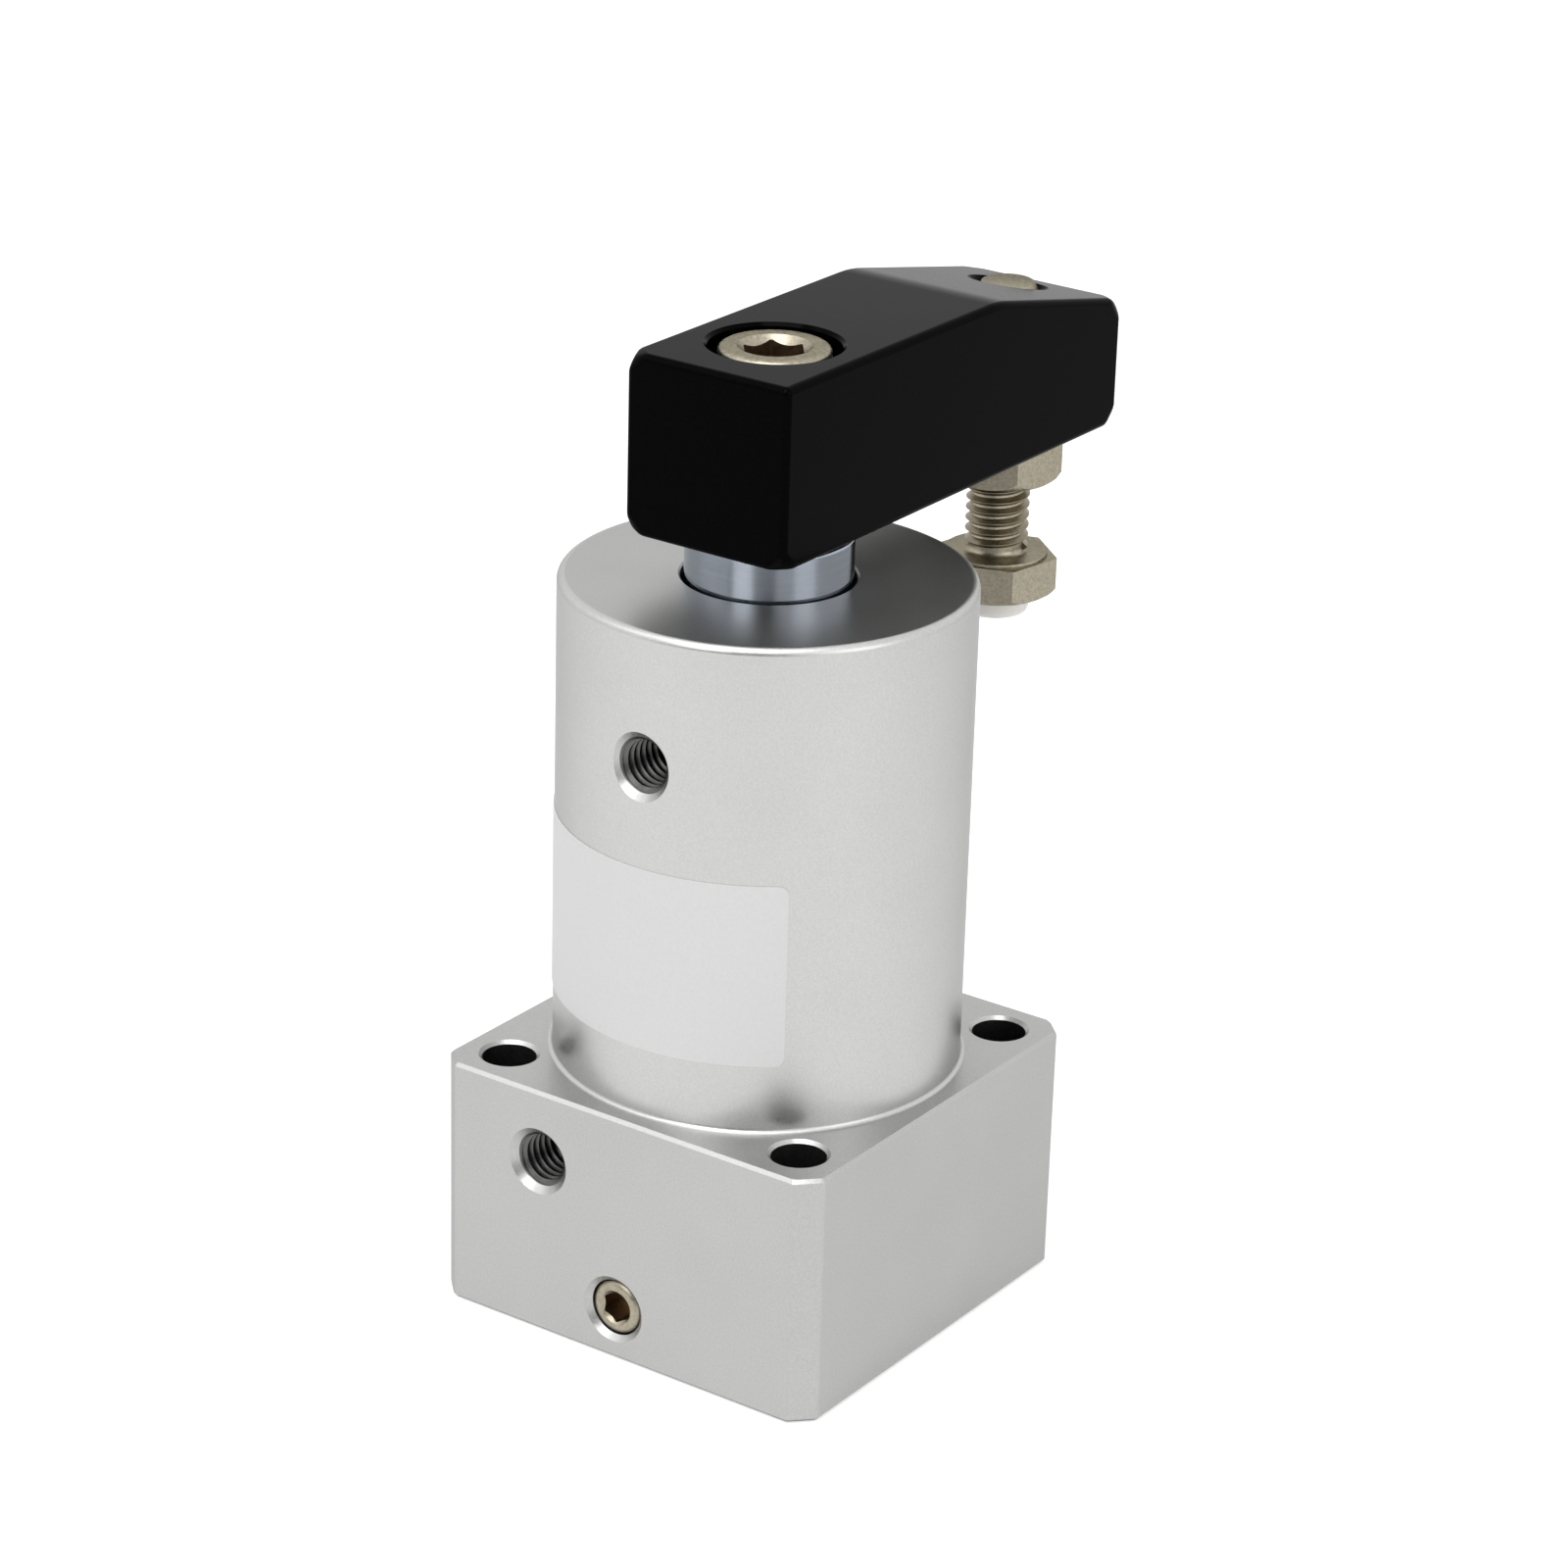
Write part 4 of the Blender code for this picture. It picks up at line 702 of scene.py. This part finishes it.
def hexagon_head(name, bottom, top, chamfer, chamfer_top, finishes):
    """A forged hexagon whose corners are turned off below by a height, and above by another."""
    flat = HEX_WIDTH / 2 - HEX_FACE_INSET
    corner = HEX_WIDTH / math.sqrt(3.0)
    shoulder = flat + HEX_SHOULDER[0] * (corner - flat)
    prism = pushed_up(hexagon(HEX_WIDTH, HEX_CORNER_ROUNDING), bottom - PAST, top + PAST)
    head = stock(name, prism, finishes)
    crop = [
        (0.0, bottom),
        (flat, bottom),
        (shoulder, bottom + HEX_SHOULDER[1] * chamfer),
        (corner, bottom + chamfer),
    ]
    if chamfer_top:
        crop += [
            (corner, top - chamfer_top),
            (shoulder, top - HEX_SHOULDER[1] * chamfer_top),
            (flat, top),
        ]
    else:
        crop += [(corner, top)]
    crop += [(0.0, top)]
    return machined(head, "INTERSECT", [turned(crop)])


def placed_on_nose(piece):
    """Turns a piece as the bolt and nut stand, and brings it to the clamp bolt's axis."""
    piece.data.transform(Matrix.Translation((0.0, BOLT_AXIS, 0.0)) @ Matrix.Rotation(HEX_TURN, 4, "Z"))
    return piece


def make_clamp_bolt(finish, thread_shade_finish):
    """Hexagon bolt with its rolled thread."""
    bolt = hexagon_head(
        "clamp_bolt_threaded", BOLT_HEAD[0], BOLT_HEAD[1], HEX_CHAMFER, 0.0, (finish, thread_shade_finish)
    )
    washer, washer_top = WASHER_FACE
    plain = NUT[0] + BOLT_PLAIN_END
    stem = [(0.0, BOLT_HEAD[0] + 1.5), (washer, BOLT_HEAD[0] + 1.5)]
    stem += arc((washer - 0.08, washer_top - 0.08), 0.08, 0.0, 90.0, 3)
    stem += arc((BOLT_CORE + 0.5, washer_top + 0.5), 0.5, -90.0, -180.0, 5)
    stem += [
        (BOLT_CORE, plain),
        (BOLT_CREST, plain + 0.3),
        (BOLT_CREST, BOLT_END - BOLT_END_CHAMFER[1]),
        (BOLT_CREST - BOLT_END_CHAMFER[0], BOLT_END - 0.06),
        (BOLT_CREST - BOLT_END_CHAMFER[0] - 0.1, BOLT_END),
        (0.0, BOLT_END),
    ]
    section = [
        (BOLT_CORE - 0.1, 0.05),
        (BOLT_CORE, 0.10),
        (BOLT_CREST - 0.04, 0.42),
        (BOLT_CREST, 0.46),
        (BOLT_CREST, 0.54),
        (BOLT_CREST - 0.04, 0.58),
        (BOLT_CORE, 0.90),
        (BOLT_CORE - 0.1, 0.95),
    ]
    # The thread gets finish 1, darker partly for its plating and partly as painted shade between the turns.
    ridge = inner(thread_ridge(section, BOLT_PITCH, washer_top - 0.05, BOLT_THREAD_TURNS), BOLT_END)
    machined(bolt, "UNION", [turned(stem, THREAD_STEPS * 2), ridge])
    radius, low, high = PAD_HOLE
    hole = turned([(0.0, low), (radius, low), (radius, high), (0.0, high)], SMALL_STEPS)
    machined(bolt, "DIFFERENCE", [hole])
    placed_on_nose(bolt)
    return finished(bolt, "rod_and_arm", "nickel_steel", "clamp_bolt")


def make_lock_nut(finish):
    """Hexagon nut, tight against the arm."""
    nut = hexagon_head("bolt_lock_nut_chamfered", NUT[0], NUT[1], NUT_CHAMFER, HEX_CHAMFER, (finish,))
    hole = BOLT_CREST + NUT_THREAD_GAP
    flare = hole + NUT_COUNTERSINK
    tap = [
        (0.0, NUT[0] - PAST),
        (flare + PAST, NUT[0] - PAST),
        (hole, NUT[0] + flare - hole),
        (hole, NUT[1] + PAST),
        (0.0, NUT[1] + PAST),
    ]
    machined(nut, "DIFFERENCE", [turned(tap, SMALL_STEPS)])
    placed_on_nose(nut)
    return finished(nut, "rod_and_arm", "nickel_steel", "bolt_lock_nut")


def make_pad(finish):
    """Moulded pad with a round lower edge and a stem in the bolt's head."""
    profile = [(0.0, PAD[0])]
    profile += arc((PAD_RADIUS - PAD_ROUNDING, PAD[0] + PAD_ROUNDING), PAD_ROUNDING, -90.0, 0.0, 8)
    profile += [
        (PAD_RADIUS, PAD[1] - 0.15),
        (PAD_RADIUS - 0.15, PAD[1]),
        (PAD_STEM[0], PAD[1]),
        PAD_STEM,
        (0.0, PAD_STEM[1]),
    ]
    pad = moved(turned(profile, SMALL_STEPS), (0.0, BOLT_AXIS, 0.0))
    return finished(stock("clamp_pad_moulded", pad, (finish,)), "rod_and_arm", "white_plastic", "clamp_pad")


def make_rear_cover(finish):
    """Turned cover under the bore, with two spanner holes."""
    profile = [
        (0.0, 0.0),
        (13.5, 0.0),
        (14.0, 0.5),
        (14.0, 9.4),
        (12.2, 9.4),
        (12.2, 10.6),
        (10.9, 10.6),
        (10.9, 12.2),
        (12.2, 12.2),
        (12.2, 13.4),
        (4.3, 13.4),
        (4.3, 2.0),
        (0.0, 2.0),
    ]
    cover = stock("rear_cover_turned", turned(profile), (finish,))
    holes = []
    for side in (-SPANNER_HOLE_REACH, SPANNER_HOLE_REACH):
        spanner = turned(
            [(0.0, -PAST), (SPANNER_HOLE[0], -PAST), SPANNER_HOLE, (0.0, SPANNER_HOLE[1])], SMALL_STEPS
        )
        holes.append(moved(spanner, (side, 0.0, 0.0)))
    cross = turned([(0.0, 0.0), (CROSS_HOLE[0], 0.0), CROSS_HOLE, (0.0, CROSS_HOLE[1])], SMALL_STEPS)
    holes.append(moved(cross, CROSS_HOLE_START, FORWARD))
    machined(cover, "DIFFERENCE", holes)
    return finished(cover, "housing", "turned_aluminium", "rear_cover")


def linear(code):
    """An sRGB hex colour as linear RGBA."""
    parts = [int(code[place:place + 2], 16) / 255 for place in (1, 3, 5)]
    scaled = [part / 12.92 if part <= 0.04045 else ((part + 0.055) / 1.055) ** 2.4 for part in parts]
    return (*scaled, 1.0)


def add(tree, kind, sources, **settings):
    """Adds a node with its settings, and sets or links its inputs."""
    made = tree.nodes.new(kind)
    for name, value in settings.items():
        setattr(made, name, value)
    for name, source in sources.items():
        if isinstance(source, bpy.types.NodeSocket):
            tree.links.new(source, made.inputs[name])
        else:
            made.inputs[name].default_value = source
    return made


def coat(
    name, colour, second_colour, roughness, spread, metallic, grain, depth, stretch=(1.0, 1.0, 1.0), **shader
):
    """A finish with a grain of this size in mm: two close colours, varied roughness and a fine relief.

    stretch draws the grain out along an axis, as turning or drawing does.
    """
    made = bpy.data.materials.new(name)
    made.use_nodes = True
    tree = made.node_tree
    surface = tree.nodes["Principled BSDF"]
    place = add(tree, "ShaderNodeTexCoord", {})
    lengthened = add(tree, "ShaderNodeMapping", {"Vector": place.outputs["Object"], "Scale": stretch})
    fine = add(
        tree,
        "ShaderNodeTexNoise",
        {
            "Vector": lengthened.outputs["Vector"],
            "Scale": 1.0 / (grain * MM),
            "Detail": 3.0,
            "Roughness": 0.6,
        },
    )
    broad = add(
        tree,
        "ShaderNodeTexNoise",
        {"Vector": place.outputs["Object"], "Scale": 1.0 / (BROAD_MOTTLE * MM), "Detail": 2.0},
    )
    mottle = add(
        tree,
        "ShaderNodeMix",
        {0: 0.2, 2: fine.outputs["Fac"], 3: broad.outputs["Fac"]},
        data_type="FLOAT",
    )
    share = add(
        tree,
        "ShaderNodeMapRange",
        {"Value": mottle.outputs[0], "From Min": 0.35, "From Max": 0.65},
    )
    colours = add(
        tree,
        "ShaderNodeMix",
        {0: share.outputs["Result"], 6: linear(colour), 7: linear(second_colour)},
        data_type="RGBA",
    )
    rough = add(
        tree,
        "ShaderNodeMapRange",
        {
            "Value": mottle.outputs[0],
            "From Min": 0.35,
            "From Max": 0.65,
            "To Min": roughness - spread,
            "To Max": roughness + spread,
        },
    )
    relief = add(
        tree,
        "ShaderNodeBump",
        {"Height": fine.outputs["Fac"], "Strength": 1.0, "Distance": depth * MM},
    )
    tree.links.new(colours.outputs[2], surface.inputs["Base Color"])
    tree.links.new(rough.outputs["Result"], surface.inputs["Roughness"])
    tree.links.new(relief.outputs["Normal"], surface.inputs["Normal"])
    surface.inputs["Metallic"].default_value = metallic
    for socket, value in shader.items():
        surface.inputs[socket.replace("_", " ")].default_value = value
    return made


def aim(thing, to):
    """Points a lamp at a place."""
    thing.rotation_euler = (Vector(to) - thing.location).to_track_quat("-Z", "Y").to_euler()


def add_lamp(name, place, size, power):
    """A soft box, aimed at the part's middle."""
    data = bpy.data.lights.new(name, "AREA")
    data.shape = "RECTANGLE"
    data.size, data.size_y = size
    data.energy = power
    lamp = bpy.data.objects.new(name, data)
    lamp.location = place
    bpy.context.scene.collection.objects.link(lamp)
    aim(lamp, LAMP_TARGET)


def white_world():
    """A white surround for the camera, for reflections and through glass, and a dimmer one for light."""
    world = bpy.data.worlds.new("studio")
    bpy.context.scene.world = world
    world.use_nodes = True
    tree = world.node_tree
    tree.nodes.clear()
    ray = add(tree, "ShaderNodeLightPath", {})
    sharp = add(
        tree,
        "ShaderNodeMath",
        {0: ray.outputs["Is Camera Ray"], 1: ray.outputs["Is Glossy Ray"]},
        operation="MAXIMUM",
    )
    seen = add(
        tree,
        "ShaderNodeMath",
        {0: sharp.outputs["Value"], 1: ray.outputs["Is Transmission Ray"]},
        operation="MAXIMUM",
    )
    fill = add(tree, "ShaderNodeBackground", {"Color": linear("#FFFFFF"), "Strength": WORLD_FILL})
    white = add(tree, "ShaderNodeBackground", {"Color": linear("#FFFFFF"), "Strength": 1.0})
    both = add(
        tree,
        "ShaderNodeMixShader",
        {0: seen.outputs["Value"], 1: fill.outputs["Background"], 2: white.outputs["Background"]},
    )
    add(tree, "ShaderNodeOutputWorld", {"Surface": both.outputs["Shader"]})


def pale_floor():
    """A wide pale floor that stays white to the camera outside the part's shadow."""
    sheet = bmesh.new()
    bmesh.ops.create_grid(sheet, x_segments=1, y_segments=1, size=FLOOR_REACH)
    mesh = bpy.data.meshes.new("floor")
    sheet.to_mesh(mesh)
    sheet.free()
    floor = bpy.data.objects.new("floor", mesh)
    floor.location = (0.0, 0.0, -FLOOR_GAP)
    bpy.context.scene.collection.objects.link(floor)
    paint = bpy.data.materials.new("pale_floor_paint")
    paint.use_nodes = True
    tree = paint.node_tree
    tree.nodes.clear()
    ray = add(tree, "ShaderNodeLightPath", {})
    shown = add(
        tree,
        "ShaderNodeMath",
        {0: ray.outputs["Is Camera Ray"], 1: ray.outputs["Is Glossy Ray"]},
        operation="MAXIMUM",
    )
    lift = add(
        tree,
        "ShaderNodeMapRange",
        {"Value": ray.outputs["Is Camera Ray"], "To Min": FLOOR_GLOW_MIRRORED, "To Max": FLOOR_GLOW_SEEN},
    )
    matt = add(tree, "ShaderNodeBsdfDiffuse", {"Color": linear("#E6E6E6")})
    glow = add(tree, "ShaderNodeEmission", {"Color": linear("#FFFFFF"), "Strength": lift.outputs["Result"]})
    lifted = add(tree, "ShaderNodeAddShader", {0: matt.outputs["BSDF"], 1: glow.outputs["Emission"]})
    chosen = add(
        tree,
        "ShaderNodeMixShader",
        {0: shown.outputs["Value"], 1: matt.outputs["BSDF"], 2: lifted.outputs["Shader"]},
    )
    add(tree, "ShaderNodeOutputMaterial", {"Surface": chosen.outputs["Shader"]})
    mesh.materials.append(paint)


def dark_card():
    """A dark card on the camera's side, which the rod reflects and the camera doesn't see."""
    card = bmesh.new()
    low = card.verts.new((0.0, -CARD_RADIUS, CARD_BOTTOM))
    high = card.verts.new((0.0, -CARD_RADIUS, CARD_TOP))
    side = card.edges.new((low, high))
    bmesh.ops.spin(
        card,
        geom=[low, high, side],
        cent=(0.0, 0.0, 0.0),
        axis=(0.0, 0.0, 1.0),
        angle=CARD_TO - CARD_FROM,
        steps=24,
        use_merge=False,
        use_duplicate=False,
    )
    start = Matrix.Rotation(CARD_FROM, 3, "Z")
    bmesh.ops.rotate(card, cent=(0.0, 0.0, 0.0), matrix=start, verts=card.verts)
    mesh = bpy.data.meshes.new("dark_card")
    card.to_mesh(mesh)
    card.free()
    shade = bpy.data.objects.new("dark_card", mesh)
    shade.visible_camera = False
    bpy.context.scene.collection.objects.link(shade)
    paper = bpy.data.materials.new("dark_card_paper")
    paper.use_nodes = True
    paper.node_tree.nodes["Principled BSDF"].inputs["Base Color"].default_value = linear("#1E1E1E")
    paper.node_tree.nodes["Principled BSDF"].inputs["Roughness"].default_value = 0.9
    mesh.materials.append(paper)


def photo_camera():
    """The camera of the photograph, fitted to the base's corners, the holes and the outline."""
    level = math.cos(CAMERA_ELEVATION)
    back = Vector(
        (math.sin(CAMERA_AZIMUTH) * level, -math.cos(CAMERA_AZIMUTH) * level, math.sin(CAMERA_ELEVATION))
    )
    right = Vector((math.cos(CAMERA_AZIMUTH), math.sin(CAMERA_AZIMUTH), 0.0))
    up = back.cross(right)
    target = right * CAMERA_AIM_RIGHT + Vector((0.0, 0.0, CAMERA_AIM_HEIGHT))
    place = (target + back * CAMERA_DISTANCE) * MM
    turned_right = right * math.cos(CAMERA_ROLL) + up * math.sin(CAMERA_ROLL)
    turned_up = up * math.cos(CAMERA_ROLL) - right * math.sin(CAMERA_ROLL)
    data = bpy.data.cameras.new("camera")
    data.sensor_width = SENSOR_WIDTH
    data.lens = FOCAL_PIXELS / PHOTO_PIXELS * SENSOR_WIDTH
    data.clip_start = 0.01
    data.clip_end = 20.0
    camera = bpy.data.objects.new("camera", data)
    axes = Matrix((turned_right, turned_up, back)).transposed().to_4x4()
    camera.matrix_world = Matrix.Translation(place) @ axes
    bpy.context.scene.collection.objects.link(camera)
    bpy.context.scene.camera = camera


def main():
    for leftover in list(bpy.data.objects):
        bpy.data.objects.remove(leftover, do_unlink=True)
    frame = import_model()

    # Blasted and clear anodised: an even satin grey with a faint speckle. The real grain, under
    # 0.05 mm, wouldn't show, so it is drawn at 0.2 mm.
    anodised = coat(
        "clear_anodised_aluminium", "#B7B7B6", "#C3C3C2", roughness=0.36, spread=0.04, metallic=1.0,
        grain=0.20, depth=0.003, Specular_Tint=linear("#DADADA"),
    )
    # Turned, then clear anodised: the same satin and anodising as the base, drawn a little paler as painted
    # light, so the barrel reads brighter than its base. Its grain is drawn coarser than real too.
    lit_barrel_anodised = coat(
        "lit_barrel_anodised_aluminium", "#C4C4C3", "#D0D0CF", roughness=0.36, spread=0.04, metallic=1.0,
        grain=0.20, depth=0.003, Specular_Tint=linear("#DADADA"),
    )
    # Painted shade on the drilled walls of the mounting holes: a dull dark grey that stands in for their
    # shade and gives them depth.
    hole_shade_paint = coat(
        "drilled_wall_painted_shade", "#464648", "#505052", roughness=0.45, spread=0.05, metallic=1.0,
        grain=0.22, depth=0.004,
    )
    # Cut by the tap, with painted shade: a dark grey on the ports' walls and threads that stands in for the
    # shade inside the ports; its flanks show as thin light lines between dark grooves.
    port_thread_shade = coat(
        "aluminium_tapped_painted_shade", "#636362", "#6F6F6E", roughness=0.35, spread=0.05, metallic=1.0,
        grain=0.22, depth=0.004,
    )
    # Bare printing film: smooth, nearly white, with a weak soft sheen beside the metal's.
    film = coat(
        "polyester_label_film", "#D6D7D6", "#DADBDA", roughness=0.45, spread=0.03, metallic=0.0,
        grain=0.30, depth=0.002,
    )
    # Ground, plated and polished: a cool mirror with upright light and dark bands and faint rings
    # round it. The rings are drawn at 0.3 mm, coarser than a real polish leaves.
    chrome = coat(
        "hard_chrome", "#A7AEB9", "#AFB6C0", roughness=0.10, spread=0.02, metallic=1.0,
        grain=0.30, depth=0.0003, stretch=(0.1, 0.1, 1.0),
    )
    # Nickel over forged steel: a warm grey, mottled where the forging's scale shows through.
    nickel = coat(
        "nickel_plated_steel", "#9B9482", "#B8B19F", roughness=0.36, spread=0.08, metallic=1.0,
        grain=0.30, depth=0.006, Specular_Tint=linear("#A4A4A4"),
    )
    # Punched sockets with thin plating and some oil: brown walls, darker than the heads partly for that oil
    # and partly as painted shade of the recess, that fall to near black inside.
    socket_oil_and_shade = coat(
        "socket_oil_and_painted_shade", "#77654F", "#826F59", roughness=0.35, spread=0.05, metallic=1.0,
        grain=0.30, depth=0.004,
    )
    # Rolled between dies and thinly plated: smoother than the heads, and darker partly for the thin plating
    # and partly as painted shade between the turns, with glints on its crests.
    thread_plating_and_shade = coat(
        "bolt_thread_plating_and_shade", "#807765", "#8D8472", roughness=0.30, spread=0.05, metallic=1.0,
        grain=0.30, depth=0.002,
    )
    # Oiled black oxide: a deep black that mirrors the surround only where it is seen edge on.
    oxide = coat(
        "black_oxide_steel", "#020203", "#040405", roughness=0.13, spread=0.03, metallic=0.0,
        grain=0.30, depth=0.0008, Specular_IOR_Level=0.02,
    )
    # Moulded acetal: a soft warm white with rounded shade, because some light goes through its skin.
    acetal = coat(
        "white_acetal", "#F6F5EF", "#F9F8F4", roughness=0.40, spread=0.04, metallic=0.0,
        grain=0.50, depth=0.003, Subsurface_Weight=0.2, Subsurface_Scale=0.002,
    )
    # Turned and left bare: brighter than the anodised body, with a fine tooled grain.
    turned_metal = coat(
        "turned_aluminium", "#C2C3C4", "#CCCDCE", roughness=0.32, spread=0.06, metallic=1.0,
        grain=0.25, depth=0.004,
    )

    make_body(anodised, hole_shade_paint, port_thread_shade, lit_barrel_anodised)
    make_label(film)
    make_set_screw(nickel, socket_oil_and_shade)
    make_rear_cover(turned_metal)
    make_rod(chrome)
    make_arm(oxide)
    make_cap_screw(nickel, socket_oil_and_shade)
    make_clamp_bolt(nickel, thread_plating_and_shade)
    make_lock_nut(nickel)
    make_pad(acetal)

    # Hardened and ground: a neutral steel grey with a close satin.
    tool_steel = coat(
        "hardened_ground_steel", "#A9AAAD", "#B5B6B8", roughness=0.30, spread=0.06, metallic=1.0,
        grain=0.25, depth=0.003,
    )
    # Pressed from powder and sintered: a dull gold with open pores, drawn coarser than real.
    bronze = coat(
        "sintered_bronze", "#B9864A", "#A87840", roughness=0.45, spread=0.08, metallic=1.0,
        grain=0.20, depth=0.010,
    )
    # Moulded nitrile rubber: matt black with a slight bloom.
    rubber = coat(
        "nitrile_rubber", "#191919", "#202020", roughness=0.62, spread=0.06, metallic=0.0,
        grain=0.35, depth=0.008,
    )
    # Moulded polyurethane: a waxy green with a soft sheen.
    seal = coat(
        "polyurethane_seal", "#3E7A63", "#447F69", roughness=0.42, spread=0.05, metallic=0.0,
        grain=0.50, depth=0.004,
    )
    # Bronze-filled guide plastic, cut from strip: a matt brown with darker and lighter specks.
    guide = coat(
        "filled_guide_plastic", "#5A4A3C", "#655445", roughness=0.55, spread=0.06, metallic=0.0,
        grain=0.30, depth=0.006,
    )
    # Phosphated spring wire: a dark, dull grey with a crystalline grain, drawn coarser than real.
    spring = coat(
        "phosphated_spring_steel", "#6C6C6F", "#77777A", roughness=0.45, spread=0.08, metallic=1.0,
        grain=0.25, depth=0.006,
    )
    inner_finishes = {
        "rear_cover_o_ring": rubber,
        "guide_post": tool_steel,
        "post_cross_pin": tool_steel,
        "rod_bush": bronze,
        "rod_seal": seal,
        "upper_bumper": rubber,
        "lower_bumper": rubber,
        "piston_seal": seal,
        "piston_wear_ring": guide,
        "piston": turned_metal,
        "piston_o_ring": rubber,
        "piston_retaining_ring": spring,
        "follower_pin": tool_steel,
    }
    for node, finish in inner_finishes.items():
        mesh = frame["nodes"][node].data
        mesh.materials.clear()
        mesh.materials.append(finish)

    white_world()
    pale_floor()
    dark_card()
    add_lamp("overhead", (0.05, -0.25, 0.56), (0.4, 0.4), 1.7)
    add_lamp("front", (0.0, -0.60, 0.36), (0.3, 0.3), 0.7)
    add_lamp("left", (-0.36, -0.27, 0.47), (0.3, 0.3), 0.2)
    add_lamp("right", (0.55, -0.05, 0.28), (0.3, 0.4), 0.4)
    photo_camera()

    bpy.context.scene.view_settings.view_transform = "Standard"


main()
